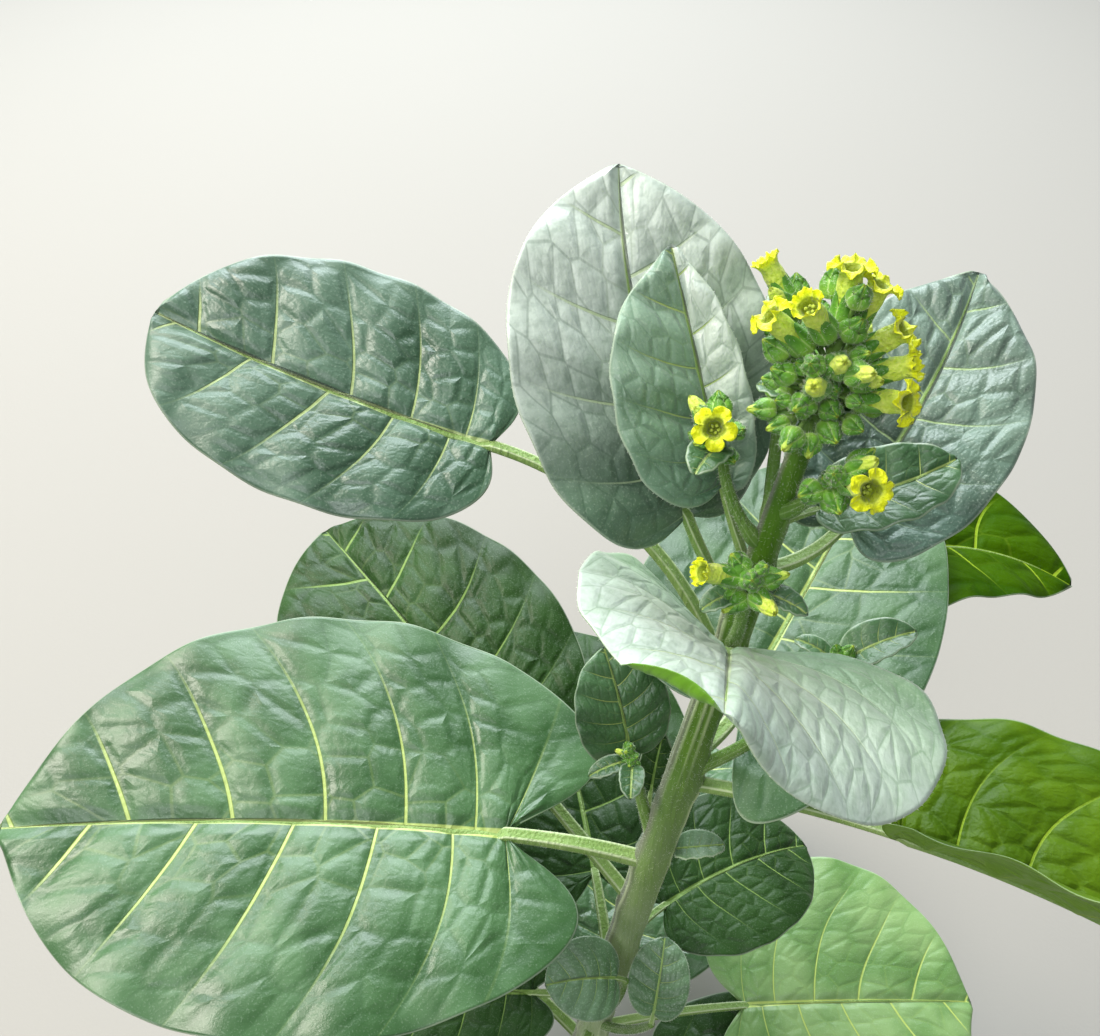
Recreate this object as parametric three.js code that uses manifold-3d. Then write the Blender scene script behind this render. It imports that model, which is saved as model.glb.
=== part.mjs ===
// A flowering tobacco plant, rooted in level ground, in millimetres with +Z up.
// The origin is the middle of the flat cut under its stem. +X is the plant's right and -Y its front.
// Azimuths run from +X towards +Y and rises from level towards +Z, both in degrees.
import * as THREE from "three";
import { mergeVertices } from "three/addons/utils/BufferGeometryUtils.js";
import Module from "manifold-3d";

const wasm = await Module();
wasm.setup();

// Driving dimensions
const STEM_TOP = 640;
const STEM_LEAN = 0.11; // sideways travel per height
const STEM_RADIUS = 9.2;
const STEM_THINNING = 5.8; // lost from the radius between foot and top
const FOOT_FLARE = 3.5;
const FLARE_HEIGHT = 22;
const SEAT_GAP = 0.3;
const THICKNESS_SHARE = 0.0115; // of a blade's length
const THINNEST_BLADE = 1.1;
const RIM_SHARE = 0.6; // of the blade's thickness, at its margin
const LOBE_PLACE = 0.1; // of the way round the outline, from the foot
const POINT_PLACE = 0.07; // of the way round the outline, from the tip
const GOLDEN_SHARE = 0.618;
const MIDRIB_SHARE = 0.4; // of the blade's length that shows as a rib under it
const CALYX_RADIUS = 3.5;
const TUBE_RADIUS = 2.9;
const TUBE_LENGTH = 19;
const LIMB_RADIUS = 6.6;
const STALK_RADIUS = 0.9;
const CROWDED_HEIGHT = 16;
const CROWDED_ANGLE = 22;
const STEM_RISE = (Math.atan(1 / STEM_LEAN) * 180) / Math.PI;

const COLOURS = {
  stem: 0x7d9a48,
  leaf: 0x4f7a5a,
  paleLeaf: 0x8aa68a,
  brightLeaf: 0x5f9a2c,
  blossom: 0xc9d23a,
};

const rad = THREE.MathUtils.degToRad;
const mix = THREE.MathUtils.lerp;

// Each leaf grows from what on names, at a height on the stem or a distance along a branch. turn and
// rise hold its course's azimuth and rise at the petiole's foot, at the blade's base and at its tip.
// roll and fold hold a value at base and at tip, fold and lobe and halves first for the left side.
const LEAVES = [
  { name: "leaf_front_left", on: "stem", at: 374, petiole: 74, turn: [176, 180, 183], rise: [24, 10, -2],
    length: 232, width: 206, roll: [-8, -12], lobe: [0.16, 0.2], halves: [0.92, 1.04], fullness: 0.74,
    point: 0.1 },
  { name: "leaf_upper_left", on: "stem", at: 522, petiole: 130, turn: [140, 170, 159], rise: [68, 13, 18],
    length: 129, width: 100, roll: [-26, -24], lobe: [0.04, 0.06], halves: [0.88, 1], widest: 0.46,
    fullness: 0.72, point: 0.05 },
  { name: "leaf_upper_back", on: "stem", at: 553, petiole: 50, turn: [194, 130, 89], rise: [62, 58, 42],
    length: 120, width: 94, fold: [[6, 6], [8, 8]], lobe: [0.03, 0.06], point: 0.08, pale: true },
  { name: "leaf_upright", on: "stem", at: 572, petiole: 40, turn: [160, 122, 108], rise: [66, 62, 48],
    length: 80, width: 55, fold: [[6, 6], [50, 50]], lobe: [0.05, 0.05], halves: [1.25, 0.55],
    point: 0.12, pale: true },
  { name: "leaf_towards_front", on: "stem", at: 534, petiole: 20, turn: [-105, -104, -104],
    rise: [50, 50, 30], length: 100, width: 130, fold: [[8, -50], [38, 5]], lobe: [0.03, 0],
    halves: [1.1, 0.85], pale: true },
  { name: "leaf_upper_right", on: "stem", at: 577, petiole: 38, turn: [0, 48, 64], rise: [10, 24, 20],
    length: 120, width: 76, roll: [10, 10], fold: [[10, 10], [10, 10]], lobe: [0.1, 0.08],
    fullness: 0.76, point: 0.12, pale: true },
  { name: "leaf_small_right", on: "stem", at: 598, petiole: 16, turn: [0, 0, 30], rise: [40, 20, 6],
    length: 50, width: 30, roll: [10, 10], fold: [[20, 20], [10, 10]], lobe: [0.03, 0.03] },
  { name: "leaf_far_right", on: "stem", at: 424, petiole: 88, turn: [63, 50, -15], rise: [24, 17, -29],
    length: 206, width: 156, lobe: [0.1, 0.1], halves: [0.92, 0.55], bright: true },
  { name: "leaf_behind", on: "stem", at: 464, petiole: 34, turn: [28, 58, 60], rise: [12, 6, -3],
    length: 190, width: 158, lobe: [0.05, 0.26], halves: [0.92, 0.84], widest: 0.3 },
  { name: "leaf_right", on: "stem", at: 445, petiole: 92, turn: [-20, -24, -32], rise: [16, 2, -20],
    length: 165, width: 150, fold: [[4, 4], [60, 60]], lobe: [0.14, 0.06], widest: 0.38, bright: true },
  { name: "leaf_low_right", on: "stem", at: 284, petiole: 32, turn: [44, 32, 22], rise: [14, 6, -26],
    length: 104, width: 92, roll: [10, 0], lobe: [0.1, 0.1] },
  { name: "leaf_base_right", on: "stem", at: 165, petiole: 96, turn: [5, 2, 2], rise: [20, 4, -10],
    length: 145, width: 176, roll: [8, 8], lobe: [0.14, 0.14], bright: true },
  { name: "leaf_low_back", on: "stem", at: 244, petiole: 56, turn: [98, 100, 103], rise: [34, 14, 0],
    length: 176, width: 156, roll: [-4, -4], lobe: [0.12, 0.12] },
  { name: "leaf_middle_back_left", on: "stem", at: 330, petiole: 100, turn: [140, 132, 128],
    rise: [34, 18, 0], length: 186, width: 150, roll: [-10, -10], lobe: [0.12, 0.12] },
  { name: "leaf_low_left", on: "stem", at: 214, petiole: 44, turn: [185, 180, 178], rise: [20, 4, -10],
    length: 124, width: 84, roll: [-10, -10], lobe: [0.12, 0.12] },
  { name: "leaf_base_front_right", on: "stem", at: 120, petiole: 62, turn: [-30, -24, -16],
    rise: [30, 8, -12], length: 165, width: 150, roll: [6, 6], lobe: [0.12, 0.12] },
  { name: "leaf_base_front", on: "stem", at: 178, petiole: 60, turn: [-112, -108, -100],
    rise: [24, 6, -16], length: 160, width: 132, lobe: [0.12, 0.12] },
  { name: "leaf_base_back_left", on: "stem", at: 140, petiole: 84, turn: [142, 146, 150],
    rise: [26, 8, -12], length: 190, width: 160, lobe: [0.12, 0.12] },
  { name: "leaf_base_back", on: "stem", at: 104, petiole: 80, turn: [70, 66, 60], rise: [26, 8, -12],
    length: 190, width: 165, lobe: [0.12, 0.12] },
  { name: "leaf_base_left", on: "stem", at: 84, petiole: 78, turn: [222, 218, 214], rise: [24, 6, -10],
    length: 180, width: 155, lobe: [0.12, 0.12] },
  { name: "leaf_curled", on: "stem", at: 382, petiole: 14, turn: [-20, -16, 10], rise: [50, 40, -10],
    length: 24, width: 16, fold: [[30, 30], [30, 30]], lobe: [0, 0], pale: true },
  { name: "leaf_left_axil", on: "branch_left_axil", at: 42, petiole: 18, turn: [104, 112, 112],
    rise: [10, 66, 34], length: 50, width: 46, lobe: [0.1, 0.1] },
  { name: "leaf_left_axil_small", on: "branch_left_axil", at: 20, petiole: 14, turn: [86, 76, 66],
    rise: [10, 50, 60], length: 30, width: 16, lobe: [0, 0] },
  { name: "leaf_shoot_front", on: "shoot_front", at: 107, petiole: 8, turn: [190, 188, 190],
    rise: [70, 26, -10], length: 38, width: 40, roll: [-20, -20], lobe: [0.06, 0.06] },
  { name: "leaf_shoot_front_right", on: "shoot_front_right", at: 121, petiole: 6, turn: [70, 74, 80],
    rise: [80, 30, 10], length: 38, width: 32, lobe: [0.06, 0.06] },
];

// Side branches from the main stem, each one tapering limb whose azimuth and rise change evenly.
const BRANCHES = [
  { name: "branch_left_axil", at: 386, length: 56, radius: [3.4, 2.4], turn: [150, 120], rise: [74, 66] },
  { name: "branch_right_axil", at: 452, length: 84, radius: [3.2, 2], turn: [-25, 33], rise: [52, 46] },
  { name: "branch_left_flowers", at: 588, length: 44, radius: [2.4, 1.7], turn: [180, 150], rise: [48, 80] },
  { name: "branch_front_flowers", at: 604, length: 26, radius: [2.4, 1.8], turn: [-60, -34], rise: [48, 60] },
  { name: "branch_low_flowers", at: 538, length: 44, radius: [2.6, 2], turn: [-92, -100], rise: [56, 90] },
  { name: "branch_back_flowers", at: 592, length: 66, radius: [2.4, 1.6], turn: [86, 76], rise: [48, 70] },
  { name: "shoot_front", at: 196, length: 108, radius: [3, 1.8], turn: [-70, -70], rise: [66, 84] },
  { name: "shoot_front_right", at: 176, length: 122, radius: [3, 1.8], turn: [-60, -60], rise: [58, 74] },
];

// Flower heads. Each has an axis that carries on from its stem or branch. open lists its flowers as
// [distance up the axis, azimuth, rise, stalk length, how far open]. Its buds are dealt over the azimuths
// of its face, [middle, spread], by golden shares, with rises from first to last, and leave out those
// that an open flower crowds. A bract is [distance up the axis, azimuth, rise, length, width].
const HEADS = [
  { name: "flowers_top", on: "stem", axis: 32, radius: [3.2, 2], buds: 17, face: [240, 360], rise: [-8, 74],
    stalk: 7, open: [[31, 90, 82, 4, 1], [27, 13, 66, 5, 1], [21, -14, 42, 6, 1], [16, -22, 28, 9, 0.5],
      [12, -42, 20, 10, 1], [21, 172, 40, 8, 1], [28, 206, 52, 6, 0.5], [15, 244, 32, 8, 0]],
    bracts: [[4, 150, 20, 16, 12], [3, 20, 10, 20, 13]] },
  { name: "flowers_left", on: "branch_left_flowers", axis: 8, radius: [1.7, 1.3], buds: 6,
    face: [190, 220], rise: [12, 62], stalk: 4, open: [[7, 250, 40, 3, 1]], bracts: [[1, 240, 20, 20, 14]] },
  { name: "flowers_front", on: "branch_front_flowers", axis: 8, radius: [1.8, 1.3], buds: 5,
    face: [-50, 200], rise: [0, 60], stalk: 4, open: [[6, -80, 30, 3, 1]], bracts: [] },
  { name: "flowers_low", on: "branch_low_flowers", axis: 8, radius: [2, 1.4], buds: 6, face: [-95, 210],
    rise: [0, 60], stalk: 4, open: [[7, 196, 24, 3, 0.5]],
    bracts: [[1, -30, 4, 18, 11], [1, 205, 0, 15, 10]] },
  { name: "flowers_back", on: "branch_back_flowers", axis: 10, radius: [1.6, 1.2], buds: 5,
    face: [110, 240], rise: [0, 70], stalk: 4, open: [[9, 150, 50, 3, 0.5]], bracts: [[1, 100, 20, 18, 11]] },
  { name: "buds_right_axil", on: "branch_right_axil", axis: 7, radius: [2, 1.2], buds: 5, face: [10, 360],
    rise: [34, 78], stalk: 2, size: 0.75, open: [], bracts: [[3, 10, 34, 30, 20], [3.5, 150, 20, 16, 10]] },
  { name: "buds_left_axil", on: "branch_left_axil", axis: 7, radius: [2.4, 1.4], buds: 7, face: [230, 200],
    rise: [5, 80], stalk: 1.5, size: 0.55, open: [],
    bracts: [[1, -96, 10, 18, 12], [1, 200, 0, 18, 10]] },
];

function direction(turn, rise) {
  const level = Math.cos(rad(rise));
  return new THREE.Vector3(level * Math.cos(rad(turn)), level * Math.sin(rad(turn)), Math.sin(rad(rise)));
}

// A stretch whose azimuth and rise change evenly with the distance along it.
class Course {
  constructor(start, turn, rise, length) {
    this.start = start;
    this.turn = turn.map(rad);
    this.rise = rise.map(rad);
    this.length = length;
  }

  angles(distance) {
    const share = distance / this.length;
    return [mix(...this.turn, share), mix(...this.rise, share)];
  }

  // The integral of cosine or sine of an angle that goes evenly from first to last.
  travel(kind, first, last, distance) {
    const change = (last - first) / this.length;
    const here = first + change * distance;
    if (Math.abs(change) < 1e-9) {
      return distance * (kind === "cos" ? Math.cos(first) : Math.sin(first));
    }
    return kind === "cos"
      ? (Math.sin(here) - Math.sin(first)) / change
      : (Math.cos(first) - Math.cos(here)) / change;
  }

  point(distance) {
    const [a0, a1] = this.turn;
    const [r0, r1] = this.rise;
    const along = Math.max(distance, 0);
    const x = this.travel("cos", a0 + r0, a1 + r1, along) + this.travel("cos", a0 - r0, a1 - r1, along);
    const y = this.travel("sin", a0 + r0, a1 + r1, along) + this.travel("sin", a0 - r0, a1 - r1, along);
    const made = new THREE.Vector3(x / 2, y / 2, this.travel("sin", r0, r1, along)).add(this.start);
    if (distance < 0) made.addScaledVector(this.axes(0).ahead, distance);
    return made;
  }

  // Unit vectors ahead, to the left and out of the upper side.
  axes(distance) {
    const [azimuth, rise] = this.angles(THREE.MathUtils.clamp(distance, 0, this.length));
    const ahead = new THREE.Vector3(
      Math.cos(rise) * Math.cos(azimuth),
      Math.cos(rise) * Math.sin(azimuth),
      Math.sin(rise),
    );
    const left = new THREE.Vector3(-Math.sin(azimuth), Math.cos(azimuth), 0);
    return { ahead, left, upper: ahead.clone().cross(left) };
  }
}

function geometryFrom(points, triangles) {
  const geometry = new THREE.BufferGeometry();
  const places = points.flatMap((p) => [p.x, p.y, p.z]);
  geometry.setAttribute("position", new THREE.Float32BufferAttribute(places, 3));
  geometry.setIndex(triangles);
  return geometry;
}

function solidFrom(geometry) {
  const bare = geometry.clone();
  bare.deleteAttribute("normal");
  bare.deleteAttribute("uv");
  const merged = mergeVertices(bare, 1e-4);
  return new wasm.Manifold(
    new wasm.Mesh({
      numProp: 3,
      vertProperties: new Float32Array(merged.attributes.position.array),
      triVerts: new Uint32Array(merged.index.array),
    }),
  );
}

function geometryOf(solid) {
  const mesh = solid.getMesh();
  const geometry = new THREE.BufferGeometry();
  const places = new Float32Array(mesh.numVert * 3);
  for (let i = 0; i < mesh.numVert; i++) {
    places.set(mesh.vertProperties.subarray(i * mesh.numProp, i * mesh.numProp + 3), i * 3);
  }
  geometry.setAttribute("position", new THREE.BufferAttribute(places, 3));
  geometry.setIndex(new THREE.BufferAttribute(mesh.triVerts, 1));
  return geometry;
}

// A closed tube through rings, each with a centre, two axes and a radius. Both ends are flat.
function tube(rings, sides) {
  const points = [];
  const triangles = [];
  rings.forEach(({ centre, left, upper, radius }) => {
    for (let k = 0; k < sides; k++) {
      const angle = (2 * Math.PI * k) / sides;
      points.push(
        centre
          .clone()
          .addScaledVector(left, radius * Math.cos(angle))
          .addScaledVector(upper, radius * Math.sin(angle)),
      );
    }
  });
  for (let i = 0; i + 1 < rings.length; i++) {
    for (let k = 0; k < sides; k++) {
      const a = i * sides + k;
      const b = i * sides + ((k + 1) % sides);
      triangles.push(a, b, b + sides, a, b + sides, a + sides);
    }
  }
  const last = (rings.length - 1) * sides;
  for (let k = 1; k + 1 < sides; k++) {
    triangles.push(0, k + 1, k, last, last + k, last + k + 1);
  }
  return solidFrom(geometryFrom(points, triangles));
}

function stemRadius(height) {
  const taper = STEM_RADIUS - STEM_THINNING * (height / STEM_TOP) ** 3;
  return taper + FOOT_FLARE * Math.exp(-height / FLARE_HEIGHT);
}

function stemPoint(height) {
  return new THREE.Vector3(STEM_LEAN * height, 0, height);
}

// The stem in level rings, from the flat cut at the ground to the flower head.
function stemSolid(clearance) {
  const heights = [0, 8, 20, 40, 80];
  for (let height = 140; height < STEM_TOP; height += 50) heights.push(height);
  heights.push(STEM_TOP);
  const rings = heights.map((height) => ({
    centre: stemPoint(height),
    left: new THREE.Vector3(1, 0, 0),
    upper: new THREE.Vector3(0, 1, 0),
    radius: stemRadius(height) + clearance,
  }));
  return tube(rings, 14);
}

function courseRings(course, radius, steps, clearance = 0) {
  const reach = course.length + clearance;
  return Array.from({ length: steps + 1 }, (_, i) => ({
    centre: course.point((reach * i) / steps),
    ...course.axes((reach * i) / steps),
    radius: mix(radius[0], radius[1], i / steps) + clearance,
  }));
}

// A limb along its course, or with a clearance the room that it needs.
function courseTube(course, radius, steps, sides, clearance = 0) {
  return tube(courseRings(course, radius, steps, clearance), sides);
}

// Half an outline, as a share of the way round it: a half ellipse that fullness squares off,
// widest at the place asked for, with its foot drawn back into a lobe and its tip out to a point.
function outline(leaf, side, share) {
  const { length, width, widest = 0.42, fullness = 0.8, halves = [1, 1], point = 0.06 } = leaf;
  const warp = Math.log(Math.acos(1 - 2 * widest) / Math.PI) / Math.log(0.5);
  const back = leaf.lobe[side] * (share / LOBE_PLACE) * Math.exp(1 - share / LOBE_PLACE);
  const out = point * Math.exp((share - 1) / POINT_PLACE);
  const round = ((1 - point) * (1 - Math.cos(Math.PI * share ** warp))) / 2;
  return {
    along: length * (round + out - back),
    across: (width / 2) * halves[side] * Math.sin(Math.PI * share) ** fullness,
  };
}

// A place on the blade's middle surface and its normal, from flat distances along and across it.
function bladePlace(leaf, blade, along, across) {
  const { roll = [0, 0], fold = [[5, 5], [5, 5]] } = leaf;
  const share = THREE.MathUtils.clamp(along / leaf.length, 0, 1);
  const { left, upper } = blade.axes(along);
  const tilt = rad(mix(...roll, share));
  const side = across >= 0 ? 0 : 1;
  const lift = rad(mix(...fold[side], share));
  const outward = left.clone().multiplyScalar(Math.cos(tilt)).addScaledVector(upper, Math.sin(tilt));
  const above = upper.clone().multiplyScalar(Math.cos(tilt)).addScaledVector(left, -Math.sin(tilt));
  const sign = side ? -1 : 1;
  const reach = Math.abs(across);
  const point = blade
    .point(along)
    .addScaledVector(outward, sign * reach * Math.cos(lift))
    .addScaledVector(above, reach * Math.sin(lift));
  const normal = above.multiplyScalar(Math.cos(lift)).addScaledVector(outward, -sign * Math.sin(lift));
  return { point, normal };
}

// A blade as a closed thin solid: an upper and a lower sheet that meet at the margin's rim.
function bladeSolid(leaf, blade) {
  const columns = leaf.length > 30 ? 2 : 1;
  const rows = leaf.length > 60 ? 8 + Math.round(leaf.length / 60) : leaf.length > 30 ? 6 : 4;
  const thickness = Math.max(THINNEST_BLADE, THICKNESS_SHARE * leaf.length);
  const points = [];
  const sheets = [1, -1].map((face) => {
    const sheet = [];
    for (let i = 0; i <= rows; i++) {
      const share = i / rows;
      const row = [];
      for (let j = -columns; j <= columns; j++) {
        const pole = i === 0 || i === rows;
        if (pole && j > -columns) {
          row.push(row[0]);
          continue;
        }
        const part = Math.abs(j) / columns;
        const edge = outline(leaf, j >= 0 ? 0 : 1, share);
        const pull = part ** 1.5;
        const along = pole ? (i ? leaf.length : 0) : mix(leaf.length * share, edge.along, pull);
        const across = pole ? 0 : Math.sign(j) * part * edge.across;
        const { point, normal } = bladePlace(leaf, blade, along, across);
        const half = (thickness / 2) * mix(1, RIM_SHARE, pole ? 1 : part ** 2);
        row.push(points.push(point.addScaledVector(normal, face * half)) - 1);
      }
      sheet.push(row);
    }
    return sheet;
  });
  const triangles = [];
  const quad = (a, b, c, d) => {
    if (a !== b && b !== c && a !== c) triangles.push(a, b, c);
    if (a !== c && c !== d && a !== d) triangles.push(a, c, d);
  };
  const [top, bottom] = sheets;
  const lastColumn = 2 * columns;
  for (let i = 0; i < rows; i++) {
    for (let j = 0; j < lastColumn; j++) {
      quad(top[i][j], top[i + 1][j], top[i + 1][j + 1], top[i][j + 1]);
      quad(bottom[i][j], bottom[i][j + 1], bottom[i + 1][j + 1], bottom[i + 1][j]);
    }
    quad(top[i][0], bottom[i][0], bottom[i + 1][0], top[i + 1][0]);
    quad(top[i][lastColumn], top[i + 1][lastColumn], bottom[i + 1][lastColumn], bottom[i][lastColumn]);
  }
  return solidFrom(geometryFrom(points, triangles));
}

function petioleRadius(leaf) {
  return 0.9 + 0.014 * leaf.length;
}

// A whole leaf from its foot inside what carries it: the petiole, which runs on under the blade
// as the foot of its midrib, and the blade.
function leafSolid(leaf, start) {
  const [turnFoot, turnBase, turnTip] = leaf.turn;
  const [riseFoot, riseBase, riseTip] = leaf.rise;
  const petiole = new Course(start, [turnFoot, turnBase], [riseFoot, riseBase], leaf.petiole);
  const foot = petiole.point(leaf.petiole);
  const blade = new Course(foot, [turnBase, turnTip], [riseBase, riseTip], leaf.length);
  const thick = petioleRadius(leaf);
  const thin = 0.75 * thick;
  const steps = leaf.petiole > 30 ? 5 : 2;
  const rings = courseRings(petiole, [thick, thin], steps);
  for (let i = 1; i <= 2; i++) {
    const distance = (MIDRIB_SHARE * leaf.length * i) / 2;
    const axes = blade.axes(distance);
    rings.push({
      centre: blade.point(distance).addScaledVector(axes.upper, -0.3 * thick),
      ...axes,
      radius: mix(thin, 0.4 * thick, i / 2),
    });
  }
  return tube(rings, leaf.length > 30 ? 6 : 4).add(bladeSolid(leaf, blade));
}

// A bud's or flower's shape along its stalk: [distance, radius] pairs past the stalk's end.
function blossomProfile(size, open) {
  const calyx = [[0, 0.4], [2, 1], [7, 0.9]].map(([d, r]) => [d * size, r * CALYX_RADIUS * size]);
  if (open === 0) return [...calyx, [11 * size, 0.8 * size]];
  const reach = TUBE_LENGTH * mix(0.85, 1, open);
  return [
    ...calyx,
    [reach - 3, TUBE_RADIUS],
    [reach, mix(TUBE_RADIUS, LIMB_RADIUS, open)],
    [reach + 1.4, 0.8 * mix(TUBE_RADIUS, LIMB_RADIUS, open)],
  ];
}

// A stalk with a bud or flower at its end, from a place inside the head's axis.
function blossomSolid(start, turn, rise, stalk, size, open) {
  const profile = blossomProfile(size, open);
  const length = stalk + profile.at(-1)[0];
  const course = new Course(start, [turn, turn], [rise, rise], length);
  const thin = STALK_RADIUS * size;
  const stations = [[0, thin], ...profile.map(([d, r]) => [stalk + d, r])];
  return tube(
    stations.map(([distance, radius]) => ({ centre: course.point(distance), ...course.axes(0), radius })),
    open > 0 ? 6 : 5,
  );
}

function headSolid(head, carrier) {
  const start = carrier.point(carrier.length + SEAT_GAP);
  const turn = THREE.MathUtils.radToDeg(carrier.turn[1]);
  const rise = THREE.MathUtils.radToDeg(carrier.rise[1]);
  const axis = new Course(start, [turn, turn], [rise, rise], head.axis);
  let solid = courseTube(axis, head.radius, 1, 6);
  const size = head.size ?? 1;
  for (const [up, azimuth, lift, stalk, open] of head.open) {
    solid = solid.add(blossomSolid(axis.point(up), azimuth, lift, stalk, size, open));
  }
  for (let k = 0; k < head.buds; k++) {
    const share = (k + 0.5) / head.buds;
    const azimuth = head.face[0] + head.face[1] * (((k * GOLDEN_SHARE) % 1) - 0.5);
    const lift = mix(...head.rise, share);
    const up = mix(0.12, 1, share) * head.axis;
    const ahead = direction(azimuth, lift);
    const crowded = head.open.some(
      ([place, a, r]) =>
        Math.abs(place - up) < CROWDED_HEIGHT && direction(a, r).angleTo(ahead) < rad(CROWDED_ANGLE),
    );
    if (!crowded) solid = solid.add(blossomSolid(axis.point(up), azimuth, lift, head.stalk, size, 0));
  }
  for (const [up, azimuth, lift, bractLength, width] of head.bracts) {
    const bract = {
      petiole: 4,
      turn: [azimuth, azimuth, azimuth],
      rise: [lift + 20, lift + 10, lift - 30],
      length: bractLength,
      width,
      lobe: [0, 0],
      fold: [[25, 25], [25, 25]],
    };
    solid = solid.add(leafSolid(bract, axis.point(up)));
  }
  return solid;
}

const group = new THREE.Group();

function addNode(name, solid, colour, roughness) {
  const material = new THREE.MeshStandardMaterial({ color: colour, roughness, metalness: 0 });
  const mesh = new THREE.Mesh(geometryOf(solid), material);
  mesh.name = name;
  group.add(mesh);
}

// What each limb leaves free round itself, so that what grows from it is seated on its skin.
const stemTip = new Course(stemPoint(0), [0, 0], [STEM_RISE, STEM_RISE], stemPoint(STEM_TOP).length());
const limbs = { stem: { course: stemTip, room: stemSolid(SEAT_GAP) } };
addNode("stem", stemSolid(0), COLOURS.stem, 0.6);

for (const branch of BRANCHES) {
  const course = new Course(stemPoint(branch.at), branch.turn, branch.rise, branch.length);
  limbs[branch.name] = { course, room: courseTube(course, branch.radius, 5, 8, SEAT_GAP) };
  addNode(branch.name, courseTube(course, branch.radius, 5, 8).subtract(limbs.stem.room), COLOURS.stem, 0.6);
}

for (const leaf of LEAVES) {
  const { course, room } = limbs[leaf.on];
  const start = leaf.on === "stem" ? stemPoint(leaf.at) : course.point(leaf.at);
  const colour = leaf.pale ? COLOURS.paleLeaf : leaf.bright ? COLOURS.brightLeaf : COLOURS.leaf;
  addNode(leaf.name, leafSolid(leaf, start).subtract(room), colour, 0.55);
}

for (const head of HEADS) {
  addNode(head.name, headSolid(head, limbs[head.on].course), COLOURS.blossom, 0.7);
}

export default group;
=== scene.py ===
"""A flowering tobacco plant, rooted in level ground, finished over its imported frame.

The tables hold millimetres and degrees. Azimuths run from +X towards +Y, rises from level towards +Z.
Every mesh is worked out in millimetres in the frame's own axes and stored in metres.
"""
import math

import bpy
import numpy as np
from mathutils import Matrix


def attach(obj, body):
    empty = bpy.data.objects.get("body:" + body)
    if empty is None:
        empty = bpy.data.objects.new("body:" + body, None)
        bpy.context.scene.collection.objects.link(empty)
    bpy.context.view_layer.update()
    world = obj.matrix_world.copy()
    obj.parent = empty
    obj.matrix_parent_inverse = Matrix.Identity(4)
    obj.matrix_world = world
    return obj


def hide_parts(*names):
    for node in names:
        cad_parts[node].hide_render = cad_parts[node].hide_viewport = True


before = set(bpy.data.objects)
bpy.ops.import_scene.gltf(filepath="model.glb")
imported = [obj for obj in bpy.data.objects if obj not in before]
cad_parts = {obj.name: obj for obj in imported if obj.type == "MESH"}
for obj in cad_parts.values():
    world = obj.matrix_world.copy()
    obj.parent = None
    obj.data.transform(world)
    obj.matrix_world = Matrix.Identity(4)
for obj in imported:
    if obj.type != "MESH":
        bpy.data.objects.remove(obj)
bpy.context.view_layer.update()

# The plant's own sizes, the same as its construction's
STEM_TOP = 640
STEM_LEAN = 0.11
STEM_RADIUS = 9.2
STEM_THINNING = 5.8
FOOT_FLARE = 3.5
FLARE_HEIGHT = 22
SEAT_GAP = 0.3
LOBE_PLACE = 0.1
POINT_PLACE = 0.07
GOLDEN_SHARE = 0.618
TUBE_LENGTH = 19
STALK_RADIUS = 0.9
CROWDED_HEIGHT = 16
CROWDED_ANGLE = 22
STEM_RISE = math.degrees(math.atan(1 / STEM_LEAN))

# Finer sizes that only the finished look needs
MESH_STEP = 1.5  # between neighbouring points of a large blade
FINE_STEP = 1.0  # the same on a blade under 60 mm
WIDE_STEP = 2.2  # the same on a blade that the others cover
BLADE_THICKNESS = 0.7
RIM_THICKNESS = 0.4
CALYX_PLACES = 30  # points round a calyx
CALYX_RINGS = 9  # rings of a calyx that carry hairs, from its foot on
BUD_MIDDLE = 4.5  # from the foot of a bud's calyx
FLOWER_MIDDLES = (BUD_MIDDLE, 11, 17)  # of the calyx, the tube and the limb of an open flower
BUD_RADIUS = 3.6  # of the ball about each of these middles
CLOSENESS = 0.93  # the least distance of two balls' middles, over the sum of their radii
ANTHER_PLACE = 14.4  # from the calyx's foot
# The stem's greyish side is painted light.
GREY_SIDE = 172  # the azimuth of the stem's greyish side
RIDGE_LENGTH = 130  # of the ridges below the foot of a large leaf
RIDGE_HEIGHT = 0.9
FOOT_SWELLING = 1.5  # of the stem at such a foot
SMALL_BUDS = 7  # tries at a smaller bud for each bud of the construction
HAIR_WIDTH = 0.1  # about twice a real hair's, so that the hairs show
STEM_HAIRS = 9000
BRANCH_HAIRS = 12  # to a millimetre of length
PETIOLE_HAIRS = 8  # the same
CALYX_HAIRS = 150  # on a calyx of full size
HAIR_LENGTHS = dict(stem=1.2, branch=1.1, petiole=0.8, margin=0.9, calyx=1.3)
MILLIMETRE = 0.001

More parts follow.
